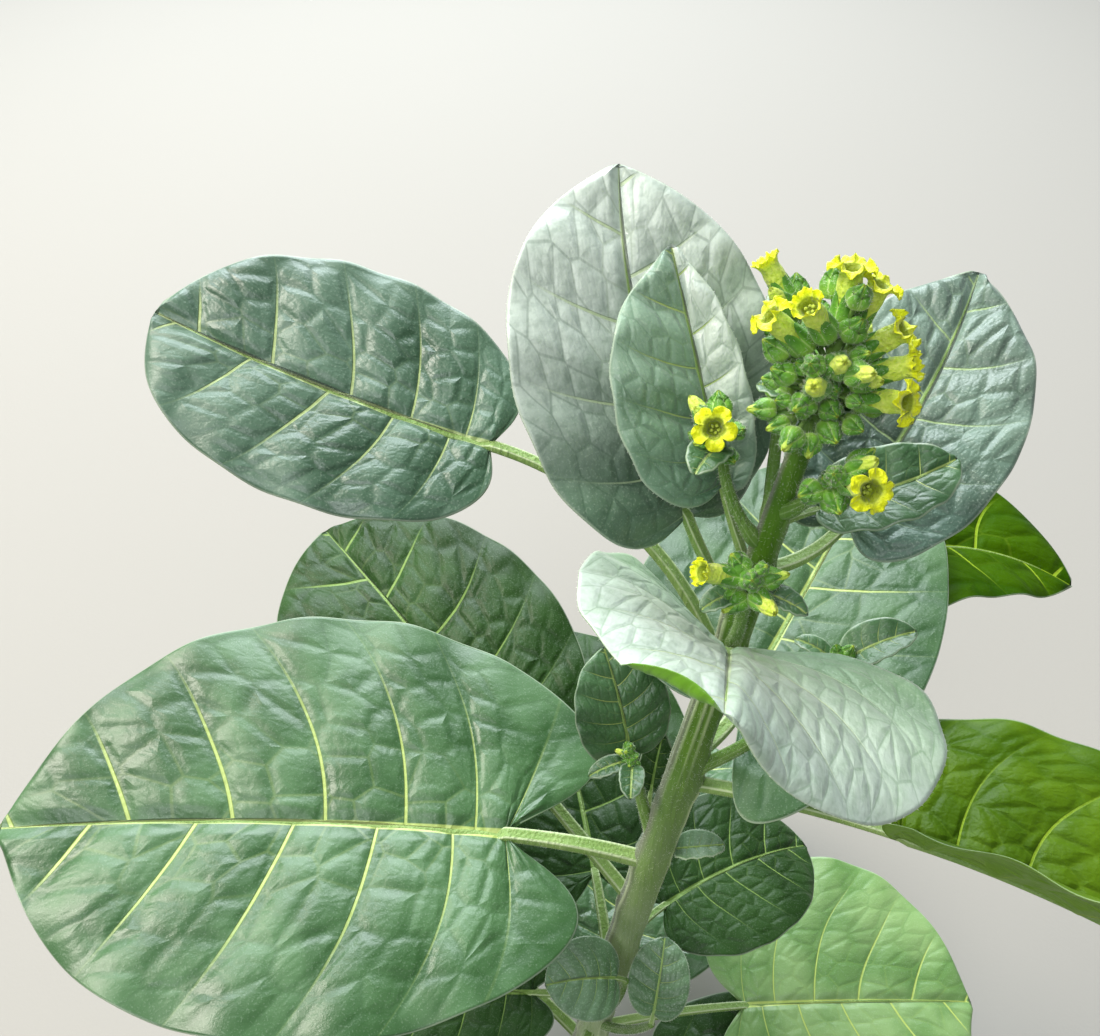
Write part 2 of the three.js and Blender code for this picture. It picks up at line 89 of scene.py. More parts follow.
# Each leaf: what it grows on, the place there, then its course and outline. turn and rise hold its
# azimuth and rise at the petiole's foot, at the blade's base and at its tip, roll and fold a value at
# base and tip, and fold, lobe and halves come first for the left side. veins is the number of side
# veins to a half, quilt the height of the swellings between veins, cells the share of it that the cells
# within them keep, and wave the height of the margin's waves. curl names the half whose margin is turned
# over, where that starts and by how many degrees, and covered a leaf that others hide. Each leaf says
# what is not usual about it.
USUAL_LEAF = dict(
    on="stem", roll=[0, 0], fold=[[5, 5], [5, 5]], lobe=[0.12, 0.12], halves=[1, 1], widest=0.42,
    fullness=0.8, point=0.06, quilt=0.8, wave=2, skin="leaf", veins=5.6, cells=1, curl=None, covered=False)
LEAVES = {
    "leaf_front_left": dict(
        at=374, petiole=74, turn=[176, 180, 183], rise=[24, 10, -2], length=232, width=206,
        roll=[-8, -12], lobe=[0.16, 0.2], halves=[0.92, 1.04], fullness=0.74, point=0.1,
        quilt=1.0, wave=2.5, veins=6.2, cells=0.5),
    "leaf_upper_left": dict(
        at=522, petiole=130, turn=[140, 170, 159], rise=[68, 13, 18], length=129, width=100,
        roll=[-26, -24], lobe=[0.04, 0.06], halves=[0.88, 1], widest=0.46, fullness=0.72, point=0.05,
        quilt=0.9, wave=1.4, skin="dark_leaf", cells=0.75),
    "leaf_upper_back": dict(
        at=553, petiole=50, turn=[194, 130, 89], rise=[62, 58, 42], length=120, width=94,
        fold=[[6, 6], [8, 8]], lobe=[0.03, 0.06], point=0.08, quilt=0.9, wave=1.4, skin="pale_leaf",
        veins=5.2, cells=0.6),
    "leaf_upright": dict(
        at=572, petiole=40, turn=[160, 122, 108], rise=[66, 62, 48], length=80, width=55,
        fold=[[6, 6], [50, 50]], lobe=[0.05, 0.05], halves=[1.25, 0.55], point=0.12, quilt=1.0,
        wave=1, skin="folded_leaf"),
    "leaf_towards_front": dict(
        at=534, petiole=20, turn=[-105, -104, -104], rise=[50, 50, 30], length=100, width=130,
        fold=[[8, -50], [38, 5]], lobe=[0.03, 0], halves=[1.1, 0.85], quilt=0.6, wave=1.2,
        skin="woolly_leaf", veins=5.4, curl=[1, 0.88, 120]),
    "leaf_upper_right": dict(
        at=577, petiole=38, turn=[0, 48, 64], rise=[10, 24, 20], length=120, width=76,
        roll=[10, 10], fold=[[10, 10], [10, 10]], lobe=[0.1, 0.08], fullness=0.76, point=0.12,
        quilt=1.0, wave=1.8, skin="grey_leaf"),
    "leaf_small_right": dict(
        at=598, petiole=16, turn=[0, 0, 30], rise=[40, 20, 6], length=50, width=30,
        roll=[10, 10], fold=[[20, 20], [10, 10]], lobe=[0.03, 0.03], quilt=0.5, wave=1),
    "leaf_far_right": dict(
        at=424, petiole=88, turn=[63, 50, -15], rise=[24, 17, -29], length=206, width=156,
        lobe=[0.1, 0.1], halves=[0.92, 0.55], quilt=0.7, wave=1.5, skin="deep_leaf"),
    "leaf_behind": dict(
        at=464, petiole=34, turn=[28, 58, 60], rise=[12, 6, -3], length=190, width=158,
        lobe=[0.05, 0.26], halves=[0.92, 0.84], widest=0.3, quilt=0.5, wave=1.2, skin="blue_leaf"),
    "leaf_right": dict(
        at=445, petiole=92, turn=[-20, -24, -32], rise=[16, 2, -20], length=165, width=150,
        fold=[[4, 4], [60, 60]], lobe=[0.14, 0.06], widest=0.38, skin="bright_leaf"),
    "leaf_low_right": dict(
        at=284, petiole=32, turn=[44, 32, 22], rise=[14, 6, -26], length=104, width=92,
        roll=[10, 0], lobe=[0.1, 0.1], quilt=0.7, wave=1.6, skin="shaded_leaf"),
    "leaf_base_right": dict(
        at=165, petiole=96, turn=[5, 2, 2], rise=[20, 4, -10], length=145, width=176,
        roll=[8, 8], lobe=[0.14, 0.14], quilt=0.7, skin="light_leaf", cells=0.5),
    "leaf_low_back": dict(
        at=244, petiole=56, turn=[98, 100, 103], rise=[34, 14, 0], length=176, width=156,
        roll=[-4, -4], quilt=0.6, skin="shaded_leaf"),
    "leaf_middle_back_left": dict(
        at=330, petiole=100, turn=[140, 132, 128], rise=[34, 18, 0], length=186, width=150,
        roll=[-10, -10], skin="shaded_leaf"),
    "leaf_low_left": dict(
        at=214, petiole=44, turn=[185, 180, 178], rise=[20, 4, -10], length=124, width=84,
        roll=[-10, -10], quilt=0.7, wave=1.6, skin="shaded_leaf"),
    "leaf_base_front_right": dict(
        at=120, petiole=62, turn=[-30, -24, -16], rise=[30, 8, -12], length=165, width=150,
        roll=[6, 6], skin="shaded_leaf"),
    "leaf_base_front": dict(
        at=178, petiole=60, turn=[-112, -108, -100], rise=[24, 6, -16], length=160,
        width=132, covered=True),
    "leaf_base_back_left": dict(
        at=140, petiole=84, turn=[142, 146, 150], rise=[26, 8, -12], length=190, width=160,
        wave=2.5, covered=True),
    "leaf_base_back": dict(
        at=104, petiole=80, turn=[70, 66, 60], rise=[26, 8, -12], length=190, width=165,
        wave=2.5, covered=True),
    "leaf_base_left": dict(
        at=84, petiole=78, turn=[222, 218, 214], rise=[24, 6, -10], length=180, width=155,
        wave=2.5, covered=True),
    "leaf_curled": dict(
        at=382, petiole=14, turn=[-20, -16, 10], rise=[50, 40, -10], length=24, width=16,
        fold=[[30, 30], [30, 30]], lobe=[0, 0], quilt=0.3, wave=0.5, skin="young_leaf"),
    "leaf_left_axil": dict(
        on="branch_left_axil", at=42, petiole=18, turn=[104, 112, 112], rise=[10, 66, 34], length=50,
        width=46, lobe=[0.1, 0.1], quilt=0.6, wave=0.8),
    "leaf_left_axil_small": dict(
        on="branch_left_axil", at=20, petiole=14, turn=[86, 76, 66], rise=[10, 50, 60], length=30,
        width=16, lobe=[0, 0], quilt=0.3, wave=0.5, skin="shaded_leaf"),
    "leaf_shoot_front": dict(
        on="shoot_front", at=107, petiole=8, turn=[190, 188, 190], rise=[70, 26, -10], length=38,
        width=40, roll=[-20, -20], lobe=[0.06, 0.06], quilt=0.5, wave=0.7, skin="young_leaf"),
    "leaf_shoot_front_right": dict(
        on="shoot_front_right", at=121, petiole=6, turn=[70, 74, 80], rise=[80, 30, 10], length=38,
        width=32, lobe=[0.06, 0.06], quilt=0.5, wave=0.7, skin="young_leaf"),
}

BRANCHES = {
    "branch_left_axil": dict(at=386, length=56, radius=[3.4, 2.4], turn=[150, 120], rise=[74, 66]),
    "branch_right_axil": dict(at=452, length=84, radius=[3.2, 2], turn=[-25, 33], rise=[52, 46]),
    "branch_left_flowers": dict(at=588, length=44, radius=[2.4, 1.7], turn=[180, 150], rise=[48, 80]),
    "branch_front_flowers": dict(at=604, length=26, radius=[2.4, 1.8], turn=[-60, -34], rise=[48, 60]),
    "branch_low_flowers": dict(at=538, length=44, radius=[2.6, 2], turn=[-92, -100], rise=[56, 90]),
    "branch_back_flowers": dict(at=592, length=66, radius=[2.4, 1.6], turn=[86, 76], rise=[48, 70]),
    "shoot_front": dict(at=196, length=108, radius=[3, 1.8], turn=[-70, -70], rise=[66, 84]),
    "shoot_front_right": dict(at=176, length=122, radius=[3, 1.8], turn=[-60, -60], rise=[58, 74]),
}

# open lists flowers as [distance up the axis, azimuth, rise, stalk length, how far open]. Buds are
# dealt over the azimuths of the face, [middle, spread], by golden shares, with rises from first to
# last. A bract is [distance up the axis, azimuth, rise, length, width].
HEADS = {
    "flowers_top": dict(
        on="stem", axis=32, radius=[3.2, 2], buds=17, face=[240, 360], rise=[-8, 74], stalk=7,
        open=[[31, 90, 82, 4, 1], [27, 13, 66, 5, 1], [21, -14, 42, 6, 1], [16, -22, 28, 9, 0.5],
              [12, -42, 20, 10, 1], [21, 172, 40, 8, 1], [28, 206, 52, 6, 0.5], [15, 244, 32, 8, 0]],
        bracts=[[4, 150, 20, 16, 12], [3, 20, 10, 20, 13]]),
    "flowers_left": dict(
        on="branch_left_flowers", axis=8, radius=[1.7, 1.3], buds=6, face=[190, 220], rise=[12, 62],
        stalk=4, open=[[7, 250, 40, 3, 1]], bracts=[[1, 240, 20, 20, 14]]),
    "flowers_front": dict(
        on="branch_front_flowers", axis=8, radius=[1.8, 1.3], buds=5, face=[-50, 200], rise=[0, 60],
        stalk=4, open=[[6, -80, 30, 3, 1]], bracts=[]),
    "flowers_low": dict(
        on="branch_low_flowers", axis=8, radius=[2, 1.4], buds=6, face=[-95, 210], rise=[0, 60],
        stalk=4, open=[[7, 196, 24, 3, 0.5]], bracts=[[1, -30, 4, 18, 11], [1, 205, 0, 15, 10]]),
    "flowers_back": dict(
        on="branch_back_flowers", axis=10, radius=[1.6, 1.2], buds=5, face=[110, 240], rise=[0, 70],
        stalk=4, open=[[9, 150, 50, 3, 0.5]], bracts=[[1, 100, 20, 18, 11]]),
    "buds_right_axil": dict(
        on="branch_right_axil", axis=7, radius=[2, 1.2], buds=5, face=[10, 360], rise=[34, 78],
        stalk=2, size=0.75, open=[], bracts=[[3, 10, 34, 30, 20], [3.5, 150, 20, 16, 10]]),
    "buds_left_axil": dict(
        on="branch_left_axil", axis=7, radius=[2.4, 1.4], buds=7, face=[230, 200], rise=[5, 80],
        stalk=1.5, size=0.55, open=[], bracts=[[1, -96, 10, 18, 12], [1, 200, 0, 18, 10]]),
}


def mix(first, last, share):
    """The value that lies the given share of the way from first to last."""
    return first + (last - first) * share


def unit(vectors):
    """Vectors over their own lengths."""
    size = np.linalg.norm(vectors, axis=-1, keepdims=True)
    return vectors / np.maximum(size, 1e-12)


class Course:
    """A path whose azimuth and rise change evenly with the distance along it.

    A point is the integral of (cos rise cos azimuth, cos rise sin azimuth, sin rise), written out
    through the sum and the difference of the two angles.
    """

    def __init__(self, start, turn, rise, length):
        self.start = np.asarray(start, float)
        self.turn = np.radians(turn)
        self.rise = np.radians(rise)
        self.length = length

    def swept(self, wave, first, last, distance):
        """The integral of the sine or cosine of an angle that goes evenly from first to last."""
        change = (last - first) / self.length
        if abs(change) < 1e-9:
            return distance * wave(first)
        here = first + change * distance
        if wave is np.cos:
            return (np.sin(here) - np.sin(first)) / change
        return (np.cos(first) - np.cos(here)) / change

    def points(self, distance):
        """Places at distances along the path, which goes on straight behind its start."""
        distance = np.asarray(distance, float)
        (a0, a1), (r0, r1) = self.turn, self.rise
        along = np.maximum(distance, 0)
        both = [
            self.swept(wave, a0 + r0, a1 + r1, along) + self.swept(wave, a0 - r0, a1 - r1, along)
            for wave in (np.cos, np.sin)
        ]
        up = self.swept(np.sin, r0, r1, along)
        made = self.start + np.stack([both[0] / 2, both[1] / 2, up], -1)
        back = np.minimum(distance, 0)[..., None]
        return made + back * self.axes(0)[0]

    def axes(self, distance):
        """Unit vectors ahead, to the left and out of the upper side."""
        share = np.clip(np.asarray(distance, float) / self.length, 0, 1)
        azimuth = mix(*self.turn, share)
        rise = mix(*self.rise, share)
        level = np.cos(rise)
        ahead = np.stack([level * np.cos(azimuth), level * np.sin(azimuth), np.sin(rise)], -1)
        left = np.stack([-np.sin(azimuth), np.cos(azimuth), np.zeros_like(azimuth)], -1)
        return ahead, left, np.cross(ahead, left)


def straight(start, azimuth, rise, length):
    """A path that keeps one azimuth and one rise."""
    return Course(start, [azimuth, azimuth], [rise, rise], length)


def stem_radius(height):
    """A radius that falls with the cube of the height and flares out at the foot."""
    taper = STEM_RADIUS - STEM_THINNING * (height / STEM_TOP) ** 3
    return taper + FOOT_FLARE * np.exp(-height / FLARE_HEIGHT)


def stem_point(height):
    """The middle of the leaning stem at a height."""
    height = np.asarray(height, float)
    return np.stack([STEM_LEAN * height, np.zeros_like(height), height], -1)


def ring_angles(count):
    """The angles of count places evenly round a ring."""
    return np.linspace(0, 2 * np.pi, count, endpoint=False)


def skin(rings, first, last, marks=None, material=0):
    """A closed skin through rings, an array of ring by place by xyz, with a fan at each end.

    The fans meet in the points first and last. marks holds arrays of ring by place by three numbers
    that go with the points, and each end takes the mean of its ring's.
    """
    count, around, _ = rings.shape
    points = np.concatenate([rings.reshape(-1, 3), [first, last]])
    index = np.arange(count * around).reshape(count, around)
    beside = np.roll(index, -1, 1)
    quads = np.stack([index[:-1], index[1:], beside[1:], beside[:-1]], -1).reshape(-1, 4)
    foot = np.full(around, count * around)
    fans = [np.stack([foot, index[0], beside[0]], -1), np.stack([foot + 1, beside[-1], index[-1]], -1)]
    held = {
        name: np.concatenate([m.reshape(-1, 3), [m[0].mean(0), m[-1].mean(0)]])
        for name, m in (marks or {}).items()
    }
    return dict(points=points, quads=quads, tris=np.concatenate(fans), marks=held, material=material)


def make_piece(name, skins, materials, slot, *replaced):
    """One object of all the skins, in metres, which rides on the plant's body."""
    starts = np.cumsum([0] + [len(s["points"]) for s in skins])
    points = np.concatenate([s["points"] for s in skins]) * MILLIMETRE
    faces = []
    kinds = []
    for part, start in zip(skins, starts):
        for group in (part["quads"], part["tris"]):
            faces += (group + start).tolist()
            kinds += [part["material"]] * len(group)
    mesh = bpy.data.meshes.new(name)
    mesh.from_pydata(points.tolist(), [], faces)
    mesh.polygons.foreach_set("use_smooth", np.ones(len(faces), bool))
    mesh.polygons.foreach_set("material_index", np.array(kinds, np.int32))
    for mark in sorted({m for s in skins for m in s["marks"]}):
        values = [s["marks"].get(mark, np.zeros((len(s["points"]), 3))) for s in skins]
        made = mesh.attributes.new(mark, "FLOAT_VECTOR", "POINT")
        made.data.foreach_set("vector", np.concatenate(values).astype(np.float32).ravel())
    for material in materials:
        mesh.materials.append(material)
    made = bpy.data.objects.new(name, mesh)
    bpy.context.scene.collection.objects.link(made)
    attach(made, "root")
    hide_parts(*replaced)


def rings_about(centres, left, upper, across, down=None):
    """Rings of points round centres: across and down are reaches by ring and place, which start at
    the left and go round under the path."""
    down = across if down is None else down
    angle = ring_angles(across.shape[-1])
    sideways = (across * np.cos(angle))[..., None] * left[:, None]
    upright = (down * np.sin(angle))[..., None] * upper[:, None]
    return centres[:, None] + sideways - upright


def waves(seed, u, v):
    """A smooth random height: the mean of six sine waves over the plane, with seeded directions."""
    count = 6
    rng = np.random.default_rng(seed)
    total = 0
    for k in range(count):
        angle, phase = rng.uniform(0, 2 * np.pi, 2)
        pitch = 0.6 + 1.2 * k / count
        total = total + np.sin(pitch * (u * np.cos(angle) + v * np.sin(angle)) + phase)
    return total / count


def outline(leaf, share):
    """The blade's margin, as a share of the way round each side, left side first.

    A half ellipse squared off by fullness and widest at the place asked for, whose foot is drawn back
    into a lobe and whose tip is drawn out to a point. Returns along and across, in millimetres.
    """
    widest = leaf["widest"]
    point = leaf["point"]
    warp = math.log(math.acos(1 - 2 * widest) / math.pi) / math.log(0.5)
    round_off = (1 - point) * (1 - np.cos(np.pi * share**warp)) / 2
    out = point * np.exp((share - 1) / POINT_PLACE)
    back = (share / LOBE_PLACE) * np.exp(1 - share / LOBE_PLACE)
    along = [leaf["length"] * (round_off + out - lobe * back) for lobe in leaf["lobe"]]
    bulge = np.sin(np.pi * share) ** leaf["fullness"]
    across = [leaf["width"] / 2 * half * bulge for half in leaf["halves"]]
    return np.array(along), np.array(across)


def vein_field(leaf, seed, along, across):
    """Where the side veins run, and how the cells between them lie.

    A side vein leaves the midrib nearly square near the foot and more and more forwards towards the
    tip, and arches forwards by the square of its distance out. Solved for the place where it left, that
    gives a phase that is whole on a vein. Behind the first vein the veins fan out from the foot into the
    lobe, so the phase goes with the angle there. Returns the phase, the distance to the nearest side vein
    over their spacing, and the distance out in cells, a little bent.
    """
    length = leaf["length"]
    out = np.abs(across)
    left_at = (along + 0.1 * out - 0.8 * out**2 / length) / (1 + 0.7 * out / length)
    behind = np.arctan2(np.minimum(left_at, 0), np.maximum(out, 0.01)) / (np.pi / 2)
    left_at = np.clip(left_at / length, 0, 1)
    count = leaf["veins"]
    rng = np.random.default_rng(seed)
    shift = np.where(across >= 0, rng.uniform(-0.1, 0.1), 0.4 + rng.uniform(-0.1, 0.1))
    phase = count * ((left_at + 0.04) ** 0.7 - 0.105) + 1.8 * behind + shift
    phase = phase + 0.08 * waves(seed + 1, along / (0.09 * length), across / (0.09 * length))
    cell = np.clip(length / 13, 2.5, 18)
    outwards = out / cell + 0.3 * waves(seed + 4, along / (1.5 * cell), across / (1.5 * cell))
    return phase, np.abs((phase + 0.5) % 1 - 0.5), outwards + seed % 13


def dome(share, soft):
    """Nought at a crease, rounded over the width soft, and one from the share 1 on, where it is level."""
    rounded = np.sqrt(share**2 + soft**2) - soft
    return 1 - (1 - np.clip(rounded, 0, 1)) ** 2


def blade_skin(leaf, blade, seed):
    """A blade as one closed skin, an upper and a lower sheet that meet in a thin rim.

    A place goes out from the midrib along straight lines to the margin. Each side is turned up by its
    fold, rounded off near the midrib, and the whole is tilted by its roll. The surface then swells
    between the veins and in the cells there, sinks along them and waves more and more towards the margin.
    """
    length = leaf["length"]
    step = WIDE_STEP if leaf["covered"] else MESH_STEP if length > 60 else FINE_STEP
    rows = max(int(length / step), 14)
    columns = max(int(leaf["width"] / 2 / step), 8)
    share = (np.arange(1, rows) / rows)[:, None]
    part = np.linspace(-1, 1, 2 * columns + 1)[None, :]
    edge_along, edge_across = outline(leaf, share[:, 0])
    side = np.where(part >= 0, 0, 1)[0]
    reach = np.abs(part)
    margin_along = edge_along[side].T
    margin_across = edge_across[side].T * np.sign(part)
    along = mix(length * share, margin_along, reach**1.5)
    across = reach * margin_across

    place = np.clip(along / length, 0, 1)
    ahead, left, upper = blade.axes(along)
    tilt = np.radians(mix(*leaf["roll"], place))[..., None]
    outward = left * np.cos(tilt) + upper * np.sin(tilt)
    above = upper * np.cos(tilt) - left * np.sin(tilt)
    folds = np.array(leaf["fold"], float)[side]
    lift = np.radians(mix(folds[:, 0], folds[:, 1], place)) * (1 - np.exp(-np.abs(across) / 6))
    middle = blade.points(along)
    middle += outward * (across * np.cos(lift))[..., None]
    middle += above * (np.abs(across) * np.sin(lift))[..., None]

    phase, apart, outwards = vein_field(leaf, seed, along, across)
    calm = (1 - reach**5) * np.clip(np.abs(across) / (0.03 * length), 0, 1)
    uneven = 0.55 + 0.6 * waves(seed + 5, along / (0.08 * length), across / (0.08 * length))
    swell = leaf["quilt"] * (1.9 + 0.8 * uneven) * dome(2.3 * apart, 0.2) * calm
    relief = leaf["quilt"] * leaf["cells"] * np.clip(length / 150, 0.25, 1.2) * (1 - reach**8)
    bent = 0.25 * waves(seed + 6, along / (0.1 * length), across / (0.1 * length))
    cells = np.abs(np.sin(np.pi * (2 * phase + bent)) * np.sin(np.pi * (outwards + bent)))
    swell = swell + 0.9 * relief * np.sqrt(cells) * calm
    wide = 0.13 * length
    roll = leaf["wave"] * waves(seed + 3, along / wide, across / wide) * (0.25 + reach)
    ruffle = 0.8 * leaf["wave"] * reach**4 * np.sin(2 * np.pi * (4.6 * place + 0.37 * seed) + side)
    groove = np.exp(-((across / (0.011 * length + 0.6)) ** 2))
    if leaf["curl"]:
        # Beyond the line rim the half bends over in a round arc, which is a little shorter than flat
        curled, first, degrees = leaf["curl"]
        rim = 1 - 0.8 * np.clip((place - first) / (1 - first), 0, 1)
        beyond = np.clip((reach - rim) / np.maximum(1 - rim, 0.01), 0, 1) * (side == curled)
        half_turn = np.radians(degrees) * beyond / 2
        apart_by = np.abs(margin_across) * np.clip(reach - rim, 0, 1) * (1 - 0.18 * beyond**2)
        level = outward * np.where(side == 0, 1, -1)[:, None] * np.cos(lift)[..., None]
        level = level + above * np.sin(lift)[..., None]
        risen = np.cross(level, np.where(side == 0, -1, 1)[:, None] * ahead)
        turned = level * np.cos(half_turn)[..., None] + risen * np.sin(half_turn)[..., None]
        middle = middle + (turned - level) * apart_by[..., None]
    normal = unit(np.cross(np.gradient(middle, axis=0), np.gradient(middle, axis=1)))
    middle = middle + normal * (roll + ruffle)[..., None]
    normal = unit(np.cross(np.gradient(middle, axis=0), np.gradient(middle, axis=1)))
    thick = mix(BLADE_THICKNESS, RIM_THICKNESS, reach**8) / 2
    top = middle + normal * (swell - 0.5 * groove + thick)[..., None]
    under = middle + normal * (0.95 * swell - thick)[..., None]

    rib = np.abs(across) - mix(0.4 + 0.009 * length, 0.3, place**0.8)
    line = np.hypot(margin_along - length * share, margin_across)
    vein = np.stack([phase, outwards, relief + 0 * along], -1)
    spot = np.stack([rib / (0.5 + 0.002 * length), (1 - reach) * line, reach + 0 * along], -1)
    half = np.where(across >= 0, 1.0, 0.0)
    face = np.stack([np.ones_like(half), half, place], -1)
    marks = {
        "vein": np.concatenate([vein, vein[:, ::-1]], 1),
        "place": np.concatenate([spot, spot[:, ::-1]], 1),
        "face": np.concatenate([face, face[:, ::-1] * [0, 1, 1]], 1),
    }
    rings = np.concatenate([top, under[:, ::-1]], 1)
    made = skin(rings, blade.points(0), blade.points(length), marks)
    made["margin"] = np.concatenate([middle[:, 0], middle[:, -1]])
    outwards_there = outward + 0 * middle
    made["outwards"] = np.concatenate([-outwards_there[:, 0], outwards_there[:, -1]])
    return made


def petiole_skin(leaf, petiole, blade):
    """The petiole and the midrib under the blade: a tube that is wider than deep, with a groove along
    its top and a low wing along each side, and that thins out along the blade."""
    thick = 0.9 + 0.014 * leaf["length"]
    thin = 0.75 * thick
    steps = max(int(leaf["petiole"] / 2.5), 5)
    distance = np.linspace(0, leaf["petiole"], steps)
    rib = np.linspace(0, 0.9 * leaf["length"], max(int(leaf["length"] / 4), 8))[1:]
    centres = np.concatenate([petiole.points(distance), blade.points(rib)])
    frames = [np.concatenate(pair) for pair in zip(petiole.axes(distance), blade.axes(rib))]
    radius = np.concatenate([
        mix(thick, thin, distance / leaf["petiole"]),
        mix(thin, 0.12 * thin, (rib / rib[-1]) ** 0.7),
    ])
    ahead, left, upper = frames
    sunk = np.concatenate([np.zeros(steps), np.full(len(rib), 0.75)]) * radius
    centres = centres - upper * sunk[:, None]
    angle = ring_angles(24)
    on_top = np.exp(-(((angle - 1.5 * np.pi) / 0.55) ** 2))
    wings = sum(np.exp(-(((angle - turn * np.pi) / 0.17) ** 2)) for turn in (1.25, 1.75))
    bare = np.concatenate([np.ones(steps), np.exp(-rib / 12)])[:, None]
    reach = radius[:, None] * (1 + bare * (0.16 * wings - 0.3 * on_top))
    rings = rings_about(centres, left, upper, 1.12 * reach, 0.92 * reach)
    marks = {"ridge": np.repeat((bare * wings)[..., None], 3, -1)}
    made = skin(rings, centres[0], centres[-1] + ahead[-1] * radius[-1], marks, material=1)
    made["rings"] = rings[:steps]
    return made


def leaf_skins(leaf, start, seed):
    """A leaf's blade and petiole, as two skins, from the place where it grows."""
    petiole = Course(start, leaf["turn"][:2], leaf["rise"][:2], leaf["petiole"])
    blade = Course(petiole.points(leaf["petiole"]), leaf["turn"][1:], leaf["rise"][1:], leaf["length"])
    return blade_skin(leaf, blade, seed), petiole_skin(leaf, petiole, blade)


def limb_skin(centres, left, upper, radius):
    """A stalk as a tube through its rings, whose end rises to a low point."""
    rings = rings_about(centres, left, upper, radius)
    ahead = unit(np.gradient(centres, axis=0))
    end = centres[-1] + ahead[-1] * radius[-1].mean() * 0.6
    return skin(rings, centres[0], end)


def stem_skin():
    """The stem: level rings of the tapering radius, with soft ribs, a swelling at each leaf's foot,
    and below it a ridge that runs down the stem and fades."""
    heights = np.concatenate([np.linspace(0, 30, 16), np.arange(32, STEM_TOP, 2.5), [STEM_TOP]])[:, None]
    angle = -ring_angles(64)[None, :]
    radius = stem_radius(heights) * (1 + 0.012 * np.cos(5 * angle + heights / 90))
    radius = radius + 0.12 * waves(5, heights / 7, angle * 2) + 0.1 * waves(6, heights / 60, angle * 6)
    ridge = np.zeros_like(radius)
    for growth in [*LEAVES.values(), *BRANCHES.values()]:
        if growth.get("on", "stem") != "stem":
            continue
        size = np.clip(growth["length"] / 150, 0.3, 1)
        below = growth["at"] - heights
        turned = np.radians(growth["turn"][0])
        for apart in (-0.32, 0.32):
            away = np.angle(np.exp(1j * (angle - turned - apart * size))) * radius
            fade = np.exp(-((np.maximum(below, 0) / (RIDGE_LENGTH * size)) ** 2))
            above = np.exp(-((np.minimum(below, 0) / 3) ** 2))
            ridge = np.maximum(ridge, size * fade * above * np.exp(-((away / 0.9) ** 2)))
        round_about = np.cos(np.angle(np.exp(1j * (angle - turned))) / 2) ** 2
        radius = radius + FOOT_SWELLING * size * round_about * np.exp(-((below / (9 * size)) ** 2))
    radius = radius + RIDGE_HEIGHT * ridge
    # side: how near a place is to the side of the stem that is greyed as painted light.
    side = np.cos(angle - math.radians(GREY_SIDE)) + 0 * heights
    level = [np.tile(axis, (len(heights), 1)) for axis in ((1.0, 0, 0), (0, 1.0, 0))]
    centres = stem_point(heights[:, 0])
    # The height lets the stalk's foot be painted paler, as painted sheen and painted light.
    marks = {"ridge": np.stack([ridge, side, heights / STEM_TOP + 0 * angle], -1)}
    rings = rings_about(centres, *level, radius)
    return skin(rings, centres[0], centres[-1] + [0, 0, 1.5], marks), rings


def branch_skin(course, radius):
    """A branch or shoot: rings along its course with low ribs, and swollen where it leaves the stem."""
    distance = np.linspace(0, course.length, int(course.length / 1.5))
    ahead, left, upper = course.axes(distance)
    angle = ring_angles(28)
    taper = mix(*radius, distance / course.length)[:, None]
    inside = stem_radius(400)  # how far its foot runs inside the stem, which hardly varies
    foot = 1 + 0.35 * np.exp(-(((distance - inside) / 4) ** 2))[:, None]
    reach = taper * foot * (1 + 0.03 * np.cos(5 * angle))
    marks = {"ridge": np.stack([0.4 * np.cos(5 * angle) ** 4 + 0 * reach, 0 * reach, 0 * reach], -1)}
    rings = rings_about(course.points(distance), left, upper, reach)
    end = course.points(course.length) + ahead[-1] * radius[1] * 0.5
    return skin(rings, course.points(0), end, marks), rings


def lobed(angle):
    """Five round lobes: one on a lobe's middle and nought between two."""
    return np.abs(np.cos(2.5 * angle)) ** 0.8


def turned_skin(start, axes, along, radius, first, last, marks):
    """A body turned about an axis, from distances along it and radii by ring and place."""
    ahead, left, upper = axes
    angle = ring_angles(radius.shape[1])
    sideways = (radius * np.cos(angle))[..., None] * left
    upright = (radius * np.sin(angle))[..., None] * upper
    rings = start + along[..., None] * ahead + sideways - upright
    return skin(rings, start + first * ahead, start + last * ahead, marks)


def calyx_skin(start, axes, size, closed, seed):
    """A calyx: a cup whose wall goes up to five blunt lobes and back down inside.

    closed draws the lobes together over a bud. Low ridges run up the middle of each lobe.
    """
    angle = ring_angles(CALYX_PLACES)[None, :]
    up = np.array([0.02, 0.06, 0.14, 0.26, 0.4, 0.54, 0.68, 0.8, 0.9, 0.97, 1])[:, None]
    lobes = lobed(angle)
    rim = mix(6.6, 7.0, closed) + mix(4.6, 2.0, closed) * lobes
    body = np.interp(up, [0, 0.06, 0.15, 0.35, 0.6, 1], [0.9, 2.6, 3.6, 4.1, 3.9, 3.5])
    drawn = body * (1 - 0.9 * closed * np.clip((up - 0.5) / 0.5, 0, 1) ** 1.7)
    ribs = 1 + 0.07 * np.cos(5 * angle) * np.sin(np.pi * up**0.7) - 0.05 * (1 - lobes) ** 3
    bend = 1 + 0.04 * waves(seed, up * 3, angle)
    outer = drawn * ribs * bend
    wall = np.array([1, 0.9, 0.75])[:, None]
    inner = np.interp(wall, up[:, 0], np.arange(len(up))).astype(int)[:, 0]
    radius = np.concatenate([outer, np.maximum(outer[inner] - 0.3, 0.1)]) * size
    along = np.concatenate([up * rim, wall * rim]) * size
    height = np.concatenate([up + 0 * angle, wall + 0 * angle])
    marks = {"bloom": np.stack([height, lobes + 0 * height, 0 * height], -1)}
    return turned_skin(start, axes, along, radius, 0, 4.8 * size, marks)


